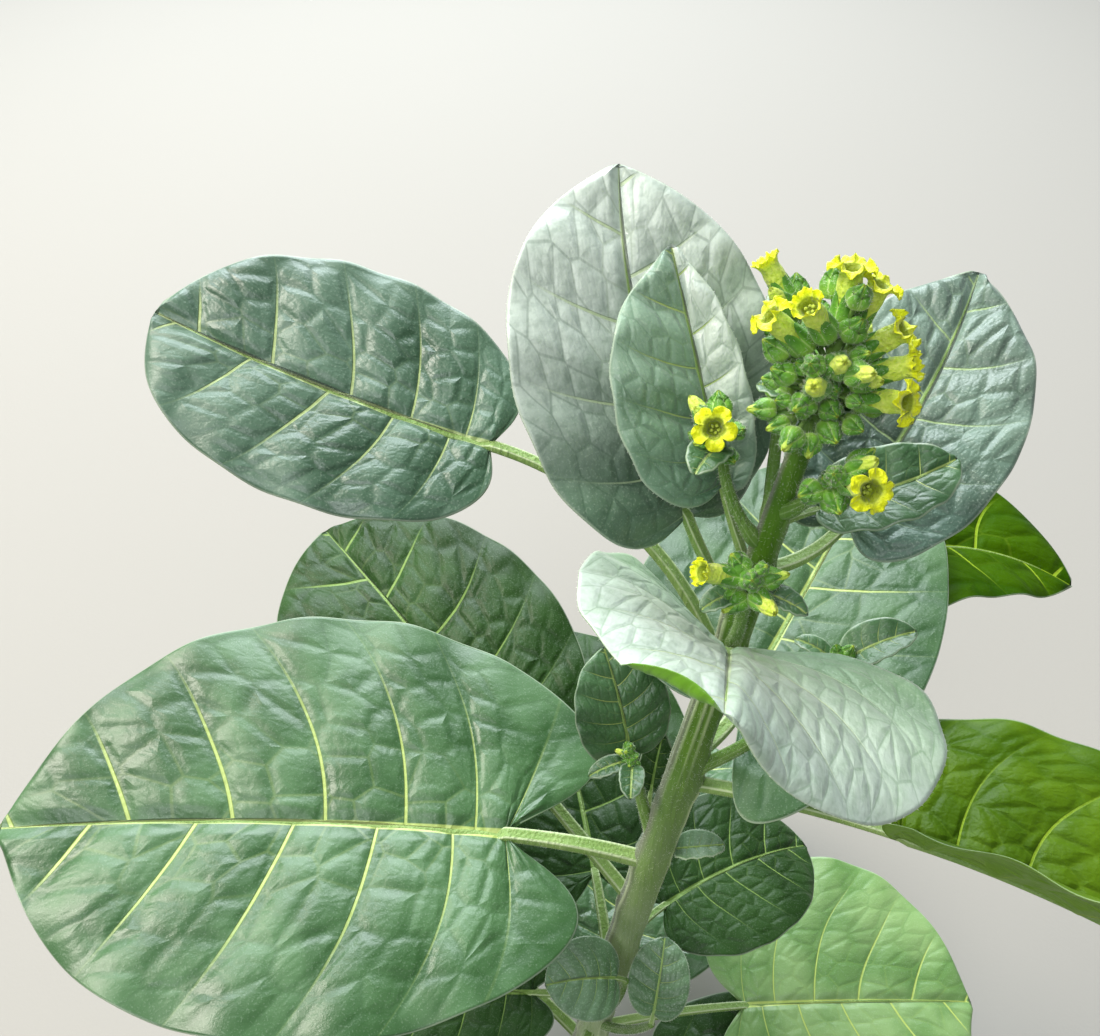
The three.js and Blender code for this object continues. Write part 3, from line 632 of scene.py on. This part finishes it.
def corolla_skin(start, axes, size, open_share, seed):
    """A corolla: a tube that swells, narrows under its mouth and flares into five broad lobes.

    The wall goes out to the lobes' edge and back down into the throat. Narrow clefts part the lobes,
    which bend back in their middles and wave. A part open one keeps its lobes pointing forwards.
    """
    angle = ring_angles(80)[None, :]
    reach = TUBE_LENGTH * mix(0.85, 1, open_share)
    out = [0.05, 0.2, 0.4, 0.58, 0.7, 0.78, 0.83, 0.88, 0.93, 0.965, 0.985, 0.99]
    wide = [1.3, 2.3, 3.0, 3.4, 3.4, 3.15, 3.1, 3.5, 4.5, 5.6, 6.5, 7.1]
    back = [1.0, 0.985, 0.965, 0.935, 0.9, 0.85, 0.78]
    inside = [7.0, 6.2, 5.2, 4.0, 2.8, 2.3, 2.1]
    flare = np.array([0] * 7 + [0.15, 0.4, 0.7, 0.9, 1, 1, 0.85, 0.65, 0.4, 0.1, 0, 0])[:, None]
    lobe = np.abs(np.cos(2.5 * angle)) ** 0.45
    notch = np.exp(-((((angle * 2.5 / np.pi + 0.5) % 1 - 0.5) / 0.1) ** 2))
    along = np.array(out + back)[:, None] * reach
    radius = np.array(wide + inside)[:, None]
    radius = mix(radius, np.minimum(radius, 2.9), (1 - open_share) * np.clip(flare * 4, 0, 1))
    radius = radius * (1 - flare * mix(0.4, 1, open_share) * (0.42 * (1 - lobe) + 0.03 * notch))
    rng = np.random.default_rng(seed)
    crimp = np.cos(15 * angle + rng.uniform(0, 6)) + np.cos(10 * angle + rng.uniform(0, 6))
    bent_back = mix(-2.6, 1.9, open_share) * flare**2 * lobe**2 - 1.0 * flare**2 * (1 - lobe)
    along = along - bent_back + 0.4 * flare**2 * crimp
    pleats = 1 + 0.04 * np.cos(5 * angle) * (1 - flare)
    inner = np.array([0.0] * len(out) + [0.1, 0.2, 0.35, 0.55, 0.85, 1, 1])[:, None]
    seam = 1 - lobe + 0.5 * notch + 0 * flare
    marks = {"bloom": np.stack([flare + 0 * angle, seam, inner + 0 * angle], -1)}
    return turned_skin(start, axes, along * size, radius * pleats * size, 0, 0.66 * reach * size, marks)


def bud_tip_skin(start, axes, size, ripe):
    """The folded corolla that shows at a bud's tip: a pleated dome, drawn in to five short dark points.

    It is green and hardly shows on a young bud, and yellower and longer the riper the bud.
    """
    angle = ring_angles(CALYX_PLACES)[None, :]
    up = np.linspace(0, 1, 10)[:, None]
    reach = mix(8.4, 14, ripe) * size
    base = 4.5 * size
    radius = mix(1.1, 2.9, ripe) * size * np.cos(np.pi / 2 * up**1.8) ** 0.6 + 0.25 * size
    radius = radius * (1 - 0.22 * up * (1 - lobed(angle)))
    along = base + (reach - base) * up + 0.6 * size * up**4 * lobed(angle)
    tone = mix(-0.6, 0.05, ripe) + 0.2 * up
    points = np.clip((up - 0.8) / 0.2, 0, 1) * 0.95
    marks = {"bloom": np.stack([tone + 0 * angle, 0 * (angle + up), points + 0 * angle], -1)}
    return turned_skin(start, axes, along, radius, 0.9 * base, reach - 0.6 * size, marks)


def bead_skin(start, axes, along, aside, turned, radius):
    """A small bead beside an axis, such as an anther: a ball three rings high."""
    ahead, left, upper = axes
    centre = start + along * ahead + aside * (math.cos(turned) * left + math.sin(turned) * upper)
    heights = np.array([-0.7, 0, 0.7])[:, None]
    wide = np.tile(np.sqrt(1 - heights**2), (1, 8)) * radius
    marks = {"bloom": np.tile([0.1, 0, 0.69], (3, 8, 1))}
    return turned_skin(centre, axes, heights * radius, wide, -radius, radius, marks)


def hair_skin(roots, normals, length, seed, lean=0.5):
    """Hairs: slim three-sided points that stand out of a surface, each leaning its own way."""
    rng = np.random.default_rng(seed)
    count = len(roots)
    way = unit(normals + lean * rng.normal(size=(count, 3)))
    aside = unit(np.cross(way, rng.normal(size=(count, 3))))
    beyond = np.cross(way, aside)
    size = length * rng.uniform(0.5, 1.15, (count, 1))
    base = []
    for k in range(3):
        angle = 2 * np.pi * k / 3
        base.append(roots - way * 0.1 + HAIR_WIDTH / 2 * (aside * np.cos(angle) + beyond * np.sin(angle)))
    points = np.stack(base + [roots + way * size], 1).reshape(-1, 3)
    first = np.arange(count)[:, None] * 4
    faces = np.array([[0, 1, 3], [1, 2, 3], [2, 0, 3], [0, 2, 1]])
    tris = (first[:, None] + faces).reshape(-1, 3)
    return dict(points=points, quads=np.zeros((0, 4), int), tris=tris, marks={}, material=0)


def scattered(rings, count, seed):
    """Places drawn at random over a skin's rings, and the way out of the skin there."""
    rng = np.random.default_rng(seed)
    middle = rings.mean(1, keepdims=True)
    row = rng.integers(0, len(rings) - 1, count)
    place = rng.integers(0, rings.shape[1], count)
    share = rng.uniform(size=(count, 1))
    beside = (place + 1) % rings.shape[1]
    here = mix(rings[row, place], rings[row + 1, place], share)
    there = mix(rings[row, beside], rings[row + 1, beside], share)
    spots = mix(here, there, rng.uniform(size=(count, 1)))
    return spots, unit(spots - middle[row, 0])


def paint(code):
    """A linear colour with alpha from an sRGB hex code."""
    values = [int(code[i : i + 2], 16) / 255 for i in (1, 3, 5)]
    return [v / 12.92 if v <= 0.04045 else ((v + 0.055) / 1.055) ** 2.4 for v in values] + [1]


def add(tree, kind, inputs=(), output=0, **settings):
    """Adds one node with its links and settings, and returns one of its outputs.

    inputs gives its sockets a value or a link each, in order or by name, and settings are the node's own
    properties.
    """
    node = tree.nodes.new("ShaderNode" + kind)
    for key, value in settings.items():
        setattr(node, key, value)
    for key, value in inputs.items() if isinstance(inputs, dict) else enumerate(inputs):
        if isinstance(value, bpy.types.NodeSocket):
            tree.links.new(value, node.inputs[key])
        else:
            node.inputs[key].default_value = value
    return node.outputs[output] if node.outputs else None


def coated(tree, colour, coats):
    """The colour that shows through coats laid over it one by one.

    A coat is a mask, its values where the coat starts and where it is full, how far the full coat
    covers what is below, and its own colour.
    """
    for mask, start, full, cover, tone in coats:
        share = add(tree, "MapRange", [mask, start, full, 0.0, cover])
        colour = add(tree, "Mix", {0: share, 6: colour, 7: tone}, 2, data_type="RGBA")
    return colour


def new_material(name, *marks):
    """A material, its empty node tree, the place in the object, and the three parts of each mark."""
    material = bpy.data.materials.new(name)
    material.use_nodes = True
    tree = material.node_tree
    tree.nodes.clear()
    where = add(tree, "TexCoord", output="Object")
    vectors = [add(tree, "Attribute", output="Vector", attribute_name=mark) for mark in marks]
    return material, tree, where, *[add(tree, "SeparateXYZ", [v]).node.outputs for v in vectors]


def finish_material(tree, colour, roughness, height, **sockets):
    """Ends a material in one Principled shader with a bump in millimetres. The IOR is that of sap and
    wax, and the other sockets are plain values."""
    bump = add(tree, "Bump", {"Strength": 1.0, "Distance": MILLIMETRE, "Height": height})
    values = {"Base Color": colour, "Roughness": roughness, "Normal": bump, "IOR": 1.42}
    values.update({key.replace("_", " "): value for key, value in sockets.items()})
    add(tree, "OutputMaterial", {"Surface": add(tree, "BsdfPrincipled", values)})


def leaf_material(name, dark, light, under, rib, down, gloss, sheen, shine, silver=(0, 0), bare=0.05):
    """Living tobacco leaf, from the marks in its mesh.

    Dusty green between two tones in soft clouds; cells between the side veins that swell softly and
    lean each its own way, so that each takes the light differently, with painted shade darkening the
    creases between them and painted light brightening the middle of each swelling; small puckers beside
    the side veins; a fine stipple of pale hair tips that carry painted glints; thin yellow-green side veins
    that fade outwards; a broad pale midrib and a thin pale margin. silver whitens the left and the right
    half as with a woolly down that is partly painted sheen, and the whitening grows from the share bare of
    the length on towards the tip as painted light: the tip lit, the foot left in painted shade.
    """
    material, tree, where, *marks = new_material(name, "vein", "place", "face")
    (phase, outwards, relief), (from_rib, from_edge, reach), (upper, half, tipward) = marks
    # Sizes in millimetres and detail: clouds, tips of hairs that carry painted glints, grain, wrinkles,
    # dimples, patches of woolly down. The tips are many times coarser than real ones, so that they show.
    clouds, specks, grain, wrinkles, dimples, patches = [
        add(tree, "TexNoise", {"Vector": where, "Scale": 1000 / size, "Detail": detail})
        for size, detail in ((34, 3), (0.8, 1), (3.2, 3), (7, 2), (4.5, 1), (14, 2))
    ]
    # Two cells to a side vein's spacing, and other cells on the blade's other half
    other_half = add(tree, "Math", [half, 20.0], operation="MULTIPLY")
    two_a_space = add(tree, "Math", [phase, 2.0, other_half], operation="MULTIPLY_ADD")
    flat = add(tree, "CombineXYZ", [two_a_space, outwards])
    wall, crumbs = [
        add(tree, "TexVoronoi", {"Vector": flat, "Scale": scale, "Randomness": 0.85}, "Distance",
            voronoi_dimensions="2D", feature="DISTANCE_TO_EDGE")
        for scale in (1.0, 3.7)
    ]
    grid = {"Vector": flat, "Scale": 1.0, "Randomness": 0.85}
    cell = add(tree, "TexVoronoi", grid, voronoi_dimensions="2D").node.outputs
    off = add(tree, "VectorMath", [flat, cell["Position"]], operation="SUBTRACT")
    lean = add(tree, "VectorMath", [cell["Color"], (0.5, 0.5, 0.5)], operation="SUBTRACT")
    leaning = add(tree, "VectorMath", [off, lean], "Value", operation="DOT_PRODUCT")

    # The distance to the nearest side vein, and half a vein's width, both over the veins' spacing
    apart = add(tree, "Math", [phase, 0.5], operation="PINGPONG")
    width = add(tree, "Math", [reach, -0.011, 0.022], operation="MULTIPLY_ADD")
    from_vein = add(tree, "Math", [apart, width], operation="DIVIDE")
    # Each goes from a first value to a last while its measure goes from low to high
    turns = {
        "fading": (reach, 0.3, 0.88, 0.95, 0.06),
        "vein": (from_vein, 0.6, 1.25, 1.0, 0.0),
        "crease": (wall, 0.012, 0.05, 1.0, 0.0),
        "midrib": (from_rib, -0.35, 0.35, 1.0, 0.0),
        "margin": (from_edge, 0.15, 0.7, 1.0, 0.0),
        "tip": (tipward, bare, bare + 0.55, 0.12, 1.1),
        "in_cell": (wall, 0.0, 0.36, 0.0, 1.0),
        "off_vein": (apart, 0.0, 0.14, 0.0, 1.0),
        "by_vein": (apart, 0.03, 0.2, 1.0, 0.0),
        "by_midrib": (reach, 0.1, 0.6, 0.4, 0.0),
        "cloudy": (clouds, 0.35, 0.65, 0.0, 1.0),
        "tufted": (grain, 0.3, 0.6, 0.75, 1.0),
        "patchy": (patches, 0.35, 0.65, 0.88, 1.06),
        "glinting_hairs": (specks, 0.55, 0.75, 0.0, 1.0),
        "crumbly": (crumbs, 0.0, 0.3, 0.0, 1.0),
        "rough": (clouds, 0.3, 0.7, gloss, gloss + 0.1),
    }
    soft = {key: add(tree, "MapRange", turn, interpolation_type="SMOOTHSTEP") for key, turn in turns.items()}
    side_vein, rise, puckers, tufts = [
        add(tree, "Math", pair, operation="MULTIPLY")
        for pair in (
            (soft["vein"], soft["fading"]), (soft["in_cell"], soft["off_vein"]),
            (dimples, soft["by_vein"]), (soft["tufted"], soft["patchy"]),
        )
    ]
    tilted = add(tree, "Math", [leaning, rise], operation="MULTIPLY")
    low = add(tree, "Math", [1.0, rise], operation="SUBTRACT")
    low_squared = add(tree, "Math", [low, low], operation="MULTIPLY")
    pillow = add(tree, "Math", [1.0, low_squared], operation="SUBTRACT")
    # The woolly whitening of each half is partly painted sheen, and it grows towards the tip as painted
    # light: from the share bare of the length on the tip is lit, and the foot is left in painted shade.
    wool_and_painted_light = add(tree, "Math", [half, silver[0] - silver[1], silver[1]], operation="MULTIPLY_ADD")
    for share in (soft["tip"], tufts):
        wool_and_painted_light = add(tree, "Math", [wool_and_painted_light, share], operation="MULTIPLY")

    # The dark green laid into the creases between the cells is painted shade, paler near the midrib like the
    # veins.
    crease_shade = coated(tree, paint(dark), [(soft["by_midrib"], 0, 1, 1, paint(rib))])
    # On the upper side the pillow coat lays painted light over the middle of each swelling, and the creases
    # take their painted shade.
    above = coated(tree, paint(dark), [
        (soft["cloudy"], 0, 1, 1, paint(light)), (pillow, 0, 1, 0.22, paint(light)),
        # The pale hair tips here are real hairs with painted glints on them.
        (wool_and_painted_light, 0, 1, 1, paint("#c6d3c6")), (soft["glinting_hairs"], 0, 1, down, paint("#b9cbb5")),
        (soft["crease"], 0, 1, 0.3, crease_shade), (side_vein, 0, 1, 1, paint(rib)),
        (soft["midrib"], 0, 1, 1, paint(rib)), (soft["margin"], 0, 1, 0.4, paint("#c9d6bc")),
    ])
    on_rib = add(tree, "Math", [side_vein, soft["midrib"]], operation="MAXIMUM")
    below = coated(tree, paint(under), [(on_rib, 0, 1, 0.5, paint(rib))])
    colour = coated(tree, below, [(upper, 0, 1, 1, above)])

    # Each part's height in millimetres: first those that grow with the leaf's relief, then the others
    height = 0.0
    crumbly = soft["crumbly"]
    for part, high in ((pillow, 1.1), (tilted, 2.4), (crumbly, 0.1), (wrinkles, 0.15), (puckers, 0.6)):
        height = add(tree, "Math", [part, high, height], operation="MULTIPLY_ADD")
    height = add(tree, "Math", [height, relief], operation="MULTIPLY")
    for part, high in ((side_vein, -0.3), (specks, 0.06), (grain, 0.07)):
        height = add(tree, "Math", [part, high, height], operation="MULTIPLY_ADD")
    finish_material(
        tree, colour, soft["rough"], height, Sheen_Weight=sheen, Sheen_Roughness=0.45,
        Sheen_Tint=paint("#e6ece8"), Specular_IOR_Level=shine,
    )
    return material


def bark_material(name, green, pale, dark, low):
    """Green, downy, ribbed stalk: fine streaks along it, paler ridges, a purplish grey side that is
    painted light, one edge of the stem greyed as it looks in the light there, and low, towards the
    ground, a paler, duller tone that is painted sheen of the down and painted light over the shaded foot."""
    material, tree, where, (ridge, side, height) = new_material(name, "ridge")
    stretched = add(tree, "Mapping", {"Vector": where, "Scale": (1, 1, 0.08)})
    streaks = add(tree, "TexNoise", {"Vector": stretched, "Scale": 1000 / 1.6, "Detail": 3})
    clouds = add(tree, "TexNoise", {"Vector": where, "Scale": 1000 / 30})
    # The grey along one side and the pale tone low on the stalk are painted light.
    colour = coated(tree, paint(low), [
        (height, 0.2, 0.75, 1.0, paint(green)), (clouds, 0.35, 0.7, 0.4, paint(pale)),
        (streaks, 0.5, 0.75, 0.45, paint(pale)), (side, 0.72, 0.98, 0.7, paint(dark)),
        (ridge, 0.2, 0.85, 0.75, paint("#d5e2b4")),
    ])
    finish_material(
        tree, colour, 0.5, streaks, Sheen_Weight=0.12, Sheen_Roughness=0.4,
        Sheen_Tint=paint("#eef6da"), Specular_IOR_Level=0.45,
    )
    return material


def calyx_material():
    """Hairy green calyx: mid green, paler towards its foot, with pale edges to its lobes."""
    material, tree, where, (height, lobes, _) = new_material("downy_calyx", "bloom")
    # The down's grain, drawn coarser than single hairs, so that it shows
    grain = add(tree, "TexNoise", {"Vector": where, "Scale": 1000 / 0.9})
    on_lobe = add(tree, "MapRange", [lobes, 0.3, 0.8, 0.0, 0.8])
    high = add(tree, "MapRange", [height, 0.3, 0.75, 0.0, 1.0])
    lobe_middle = add(tree, "Math", [on_lobe, high], operation="MULTIPLY")
    colour = coated(tree, paint("#9fc252"), [
        (height, 0.0, 0.5, 1.0, paint("#76ae3a")), (lobe_middle, 0.0, 1.0, 1.0, paint("#3c7620")),
        (lobes, 0.25, 0.0, 0.75, paint("#c3db8c")), (grain, 0.5, 0.75, 0.15, paint("#c3d996")),
    ])
    low_grain = add(tree, "Math", [grain, 0.3], operation="MULTIPLY")
    finish_material(
        tree, colour, 0.34, low_grain, Sheen_Weight=0.35, Sheen_Roughness=0.4,
        Sheen_Tint=paint("#f4f8e8"),
    )
    return material


def petal_material():
    """Soft petal: greenish yellow tube, clear yellow lobes with fine veins, and an olive green throat."""
    material, tree, where, (flare, lobes, inner) = new_material("yellow_petal", "bloom")
    grain = add(tree, "TexNoise", {"Vector": where, "Scale": 1000 / 1.4})
    colour = coated(tree, paint("#c0da3c"), [
        (grain, 0.3, 0.7, 1.0, paint("#dfec72")), (flare, 0.0, -0.5, 1.0, paint("#8db53a")),
        (flare, 0.1, 0.6, 1.0, paint("#ecf400")), (lobes, 0.3, 1.0, 0.35, paint("#c4d400")),
        (inner, 0.6, 0.78, 1.0, paint("#8c9c14")),
    ])
    finish_material(
        tree, colour, 0.5, grain, Sheen_Weight=0.2, Sheen_Roughness=0.5, Subsurface_Weight=0.15,
        Subsurface_Radius=(0.002, 0.002, 0.0005), Subsurface_Scale=1.0,
    )
    return material


def hair_material(name, code):
    """Short clear hairs, which read as a pale down."""
    material, tree, where = new_material(name)
    grain = add(tree, "TexNoise", {"Vector": where, "Scale": 1000 / 5})
    colour = coated(tree, paint(code), [(grain, 0.0, 1.0, 1.0, paint("#f6f8ee"))])
    finish_material(tree, colour, 0.6, grain, Sheen_Weight=0.2)
    return material


# Each skin: its slot, its material's name, dark, light, under side and veins, then the share of hair tips
# with their painted glints, the gloss, the sheen and the shine, and where there is woolly whitening that is
# partly painted sheen and painted light, how much on each half and where it starts towards the tip
SKINS = {
    "leaf": (
        "leaf", "dusty_green_leaf", "#2c5226", "#486f41", "#6f9a55", "#adc068", 0.12, 0.36, 0.04, 0.95),
    "dark_leaf": (
        "leaf", "dark_green_leaf", "#34553a", "#527259", "#6f9a55", "#a5b974", 0.18, 0.36, 0.1, 1.0),
    # The older leaves low on the plant are darkened for their age and with painted shade, for the shade they
    # lie in.
    "shaded_leaf": (
        "leaf", "older_leaf", "#1f3b13", "#2f4f21", "#5f8a45", "#7f9c50", 0.1, 0.4, 0.02, 0.3),
    "blue_leaf": (
        "leaf", "bluish_green_leaf", "#2f522a", "#476a3d", "#6f9a55", "#adc068", 0.15, 0.4, 0.05, 0.6),
    "pale_leaf": (
        "pale_leaf", "downy_leaf", "#2a4c32", "#446a48", "#86a27a", "#b4c79c", 0.25, 0.38, 0.1, 0.8,
        (0.92, 0.92), 0.1),
    "grey_leaf": (
        "pale_leaf", "grey_green_leaf", "#334f3a", "#52705c", "#86a27a", "#9ab37c", 0.3, 0.38, 0.12, 0.8,
        (0.15, 0.15)),
    "folded_leaf": (
        "pale_leaf", "dark_folded_leaf", "#4f7555", "#80a384", "#86a27a", "#a8bf70", 0.3, 0.36, 0.3, 0.9,
        (0.15, 1.3)),
    "woolly_leaf": (
        "pale_leaf", "woolly_leaf", "#4b7542", "#75996a", "#5f9410", "#bccda2", 0.3, 0.42, 0.28, 0.6,
        (0.7, 0.85)),
    "young_leaf": (
        "leaf", "young_leaf", "#426838", "#65885e", "#7fa25c", "#a3be66", 0.4, 0.4, 0.25, 0.6, (0.1, 0.1)),
    # The bright and the deep green skins are painted light: their saturated yellow-greens stand for light
    # shining through the blade.
    "bright_leaf": (
        "bright_leaf", "bright_green_leaf", "#3f6002", "#5a7a08", "#6f9330", "#8fab2c", 0.02, 0.42, 0.0, 0.2),
    "deep_leaf": (
        "bright_leaf", "deep_green_leaf", "#244600", "#395a00", "#6f9330", "#8fab2c", 0.02, 0.45, 0.0, 0.05),
    "light_leaf": (
        "bright_leaf", "light_green_leaf", "#66904a", "#8eb06c", "#8aa34c", "#c0d46c", 0.2, 0.4, 0.06, 0.8),
}
leaf_looks = {key: leaf_material(*row[1:]) for key, row in SKINS.items()}
# The stalk's pale low tone is painted light: the sheen of its down, and light laid over its shaded foot.
stalk = bark_material("downy_green_stalk", "#446c10", "#6a8f2e", "#7b7672", "#bfcca4")
shoot_bark = bark_material("downy_green_shoot", "#5c8130", "#86a55a", "#7b7672", "#5c8130")
petiole_bark = bark_material("pale_green_petiole", "#76964a", "#a5bc74", "#7f9a5c", "#76964a")
calyx_green = calyx_material()
petal = petal_material()
down = hair_material("pale_down", "#dfe8cc")

stem_length = float(np.linalg.norm(stem_point(STEM_TOP)))
limbs = {"stem": straight(stem_point(0), 0, STEM_RISE, stem_length)}
hairs = []

# Stem and branches. Each kind of random draw has its own run of seeds.
skin_of_stem, stem_rings = stem_skin()
make_piece("stem_bark", [skin_of_stem], [stalk], "stem", "stem")
hairs.append(hair_skin(*scattered(stem_rings, STEM_HAIRS, 11), HAIR_LENGTHS["stem"], 12))
for number, (name, branch) in enumerate(BRANCHES.items()):
    course = Course(stem_point(branch["at"]), branch["turn"], branch["rise"], branch["length"])
    limbs[name] = course
    made, rings = branch_skin(course, branch["radius"])
    make_piece(name + "_bark", [made], [shoot_bark], "stem", name)
    places = scattered(rings[6:], int(branch["length"] * BRANCH_HAIRS), 40 + number)
    hairs.append(hair_skin(*places, HAIR_LENGTHS["branch"], 60 + number))

# Leaves
for number, (name, own) in enumerate(LEAVES.items()):
    leaf = USUAL_LEAF | own
    start = stem_point(leaf["at"]) if leaf["on"] == "stem" else limbs[leaf["on"]].points(leaf["at"])
    blade, petiole = leaf_skins(leaf, start, 100 + number)
    materials = [leaf_looks[leaf["skin"]], petiole_bark]
    make_piece(name.replace("leaf", "blade"), [blade, petiole], materials, SKINS[leaf["skin"]][0], name)
    places = scattered(petiole["rings"], int(leaf["petiole"] * PETIOLE_HAIRS), 200 + number)
    hairs.append(hair_skin(*places, HAIR_LENGTHS["petiole"], 300 + number))
    if leaf["skin"] in ("woolly_leaf", "folded_leaf", "pale_leaf", "young_leaf"):
        rim, outwards = [blade[key].repeat(3, 0) for key in ("margin", "outwards")]
        hairs.append(hair_skin(rim, outwards, HAIR_LENGTHS["margin"], 400 + number, 0.8))

# Flower heads
taken = []
calyces = []
corollas = []
stalks = []
bracts = []


def roomy(centre, radius):
    """Whether a ball there would keep clear of the buds and flowers made so far."""
    return all(np.linalg.norm(centre - place) > CLOSENESS * (radius + wide) for place, wide in taken)


def bloom(start, azimuth, rise, stalk_length, size, open_share, seed, ripe):
    """A flower or bud on its stalk, from a place inside the head's axis."""
    course = straight(start, azimuth, rise, stalk_length + 1)
    axes = course.axes(0)
    distance = np.linspace(0, stalk_length + 0.6 * size, 5)
    radius = np.full((5, 10), STALK_RADIUS * size)
    radius[-1] *= 1.4
    sides = [np.tile(axis, (5, 1)) for axis in axes[1:]]
    stalks.append(limb_skin(course.points(distance), *sides, radius))
    top = course.points(stalk_length)
    if open_share > 0:
        calyces.append(calyx_skin(top, axes, size, 0, seed))
        corollas.append(corolla_skin(top, axes, size, open_share, seed))
        for k in range(5):
            along = (ANTHER_PLACE + 0.5 * (k % 2)) * size
            corollas.append(bead_skin(top, axes, along, 1.1 * size, 0.4 * math.pi * k, 0.6 * size))
    else:
        calyces.append(calyx_skin(top, axes, size, mix(1, 0.35, ripe), seed))
        corollas.append(bud_tip_skin(top, axes, size, ripe))
    for up in FLOWER_MIDDLES if open_share > 0 else FLOWER_MIDDLES[:1]:
        taken.append((top + up * size * axes[0], BUD_RADIUS * size))
    rings = calyces[-1]["points"][: CALYX_RINGS * CALYX_PLACES].reshape(CALYX_RINGS, CALYX_PLACES, 3)
    places = scattered(rings, int(CALYX_HAIRS * size), seed + 1)
    hairs.append(hair_skin(*places, HAIR_LENGTHS["calyx"] * size, seed + 2))


for number, head in enumerate(HEADS.values()):
    carrier = limbs[head["on"]]
    start = carrier.points(carrier.length + SEAT_GAP)
    axis = straight(start, math.degrees(carrier.turn[1]), math.degrees(carrier.rise[1]), head["axis"])
    distance = np.linspace(-0.5, head["axis"], 12)
    radius = np.tile(mix(*head["radius"], np.linspace(0, 1, 12))[:, None], (1, 14))
    stalks.append(limb_skin(axis.points(distance), *axis.axes(distance)[1:], radius))
    size = head.get("size", 1)
    seed = 1000 * (number + 1)
    for k, (up, azimuth, lift, stalk_length, open_share) in enumerate(head["open"]):
        bloom(axis.points(up), azimuth, lift, stalk_length, size, open_share, seed + 10 * k, 1)
    opened = [(up, straight(start, azimuth, lift, 1).axes(0)[0]) for up, azimuth, lift, _, _ in head["open"]]
    # The construction's buds come first, and then smaller ones by the same rule where there is room. The
    # shares of k that are used below spread sizes, stalks and ripeness evenly over a head.
    for small in (False, True):
        count = head["buds"] * (SMALL_BUDS if small else 1)
        for k in range(count):
            share = (k + 0.5) / count
            turned = (k * GOLDEN_SHARE + (0.31 if small else 0)) % 1 - 0.5
            azimuth = head["face"][0] + head["face"][1] * turned
            lift = mix(*head["rise"], share)
            up = mix(0.12, 1, share) * head["axis"]
            way = straight(start, azimuth, lift, 1).axes(0)[0]
            own = mix(1.1, 0.55, (k * 0.73) % 1) if small else 1
            stalk_length = head["stalk"] * (mix(0.6, 2.0, (k * 0.29) % 1) if small else 1)
            if small:
                centre = axis.points(up) + (stalk_length + BUD_MIDDLE * size * own) * way
                free = roomy(centre, BUD_RADIUS * size * own)
            else:
                near = math.cos(math.radians(CROWDED_ANGLE))
                free = not any(abs(at - up) < CROWDED_HEIGHT and np.dot(way, a) > near for at, a in opened)
            if free:
                ripe = ((k * 0.37 + 0.2 * number) % 1) ** 3 * own**2
                bud_seed = seed + 300 + 10 * k + (31 if small else 0)
                bloom(axis.points(up), azimuth, lift, stalk_length, size * own, 0, bud_seed, ripe)
    for k, (up, azimuth, lift, length, width) in enumerate(head["bracts"]):
        bract = USUAL_LEAF | dict(
            petiole=4, turn=[azimuth] * 3, rise=[lift + 20, lift + 10, lift - 30], length=length,
            width=width, lobe=[0, 0], fold=[[25, 25], [25, 25]], quilt=0.25, wave=0.5)
        bracts += leaf_skins(bract, axis.points(up), seed + 700 + k)

heads = list(HEADS)
make_piece("calyces", calyces, [calyx_green], "blossom", *heads)
make_piece("corollas", corollas, [petal], "blossom", *heads)
make_piece("flower_stalks", stalks, [shoot_bark], "stem", *heads)
make_piece("bracts", bracts, [leaf_looks["leaf"], petiole_bark], "leaf", *heads)
make_piece("hairs", hairs, [down], "stem", "stem")


def floor():
    """A plain pale floor under the plant."""
    mesh = bpy.data.meshes.new("floor")
    reach = 8  # metres
    corners = [(-reach, -reach, 0), (reach, -reach, 0), (reach, reach, 0), (-reach, reach, 0)]
    mesh.from_pydata(corners, [], [(0, 1, 2, 3)])
    made = bpy.data.objects.new("floor", mesh)
    bpy.context.scene.collection.objects.link(made)
    material, tree, where = new_material("pale_floor")
    grain = add(tree, "TexNoise", {"Vector": where, "Scale": 1000 / 3.3})
    low_grain = add(tree, "Math", [grain, 0.12], operation="MULTIPLY")
    finish_material(tree, paint("#a09c94"), 0.85, low_grain)
    mesh.materials.append(material)


def lamp(name, place, aim, size, watts, code):
    """A square soft light that faces the point aimed at."""
    data = bpy.data.lights.new(name, "AREA")
    data.size = size
    data.energy = watts
    data.color = paint(code)[:3]
    made = bpy.data.objects.new(name, data)
    x, y, z = np.subtract(aim, place)
    made.location = place
    made.rotation_euler = (math.atan2(math.hypot(x, y), -z), 0, math.atan2(x, -y) + math.pi)
    bpy.context.scene.collection.objects.link(made)


floor()
lamp("key_light", (-2.4, 0.4, 3.2), (0.0, 0.0, 0.4), 1.5, 130, "#fff8ee")
lamp("sky_light", (-0.4, 3.2, 3.2), (0.0, 0.0, 0.4), 3.6, 370, "#eaf3fb")
lamp("front_light", (-1.1, -2.6, 3.6), (0.0, 0.0, 0.5), 2.0, 75, "#f6f9ff")
world = bpy.data.worlds.new("soft_sky")
world.use_nodes = True
world.node_tree.nodes["Background"].inputs[0].default_value = paint("#e6edf2")
world.node_tree.nodes["Background"].inputs[1].default_value = 0.27
bpy.context.scene.world = world

bpy.context.scene.view_settings.view_transform = "Standard"

# The view that the photo was taken from
camera = bpy.data.cameras.new("camera")
camera.sensor_width = 36
camera.lens = 32.727
camera_object = bpy.data.objects.new("camera", camera)
camera_object.location = (-0.008, -0.241, 0.827)
camera_object.rotation_euler = (math.radians(47), 0, 0)
bpy.context.scene.collection.objects.link(camera_object)
bpy.context.scene.camera = camera_object
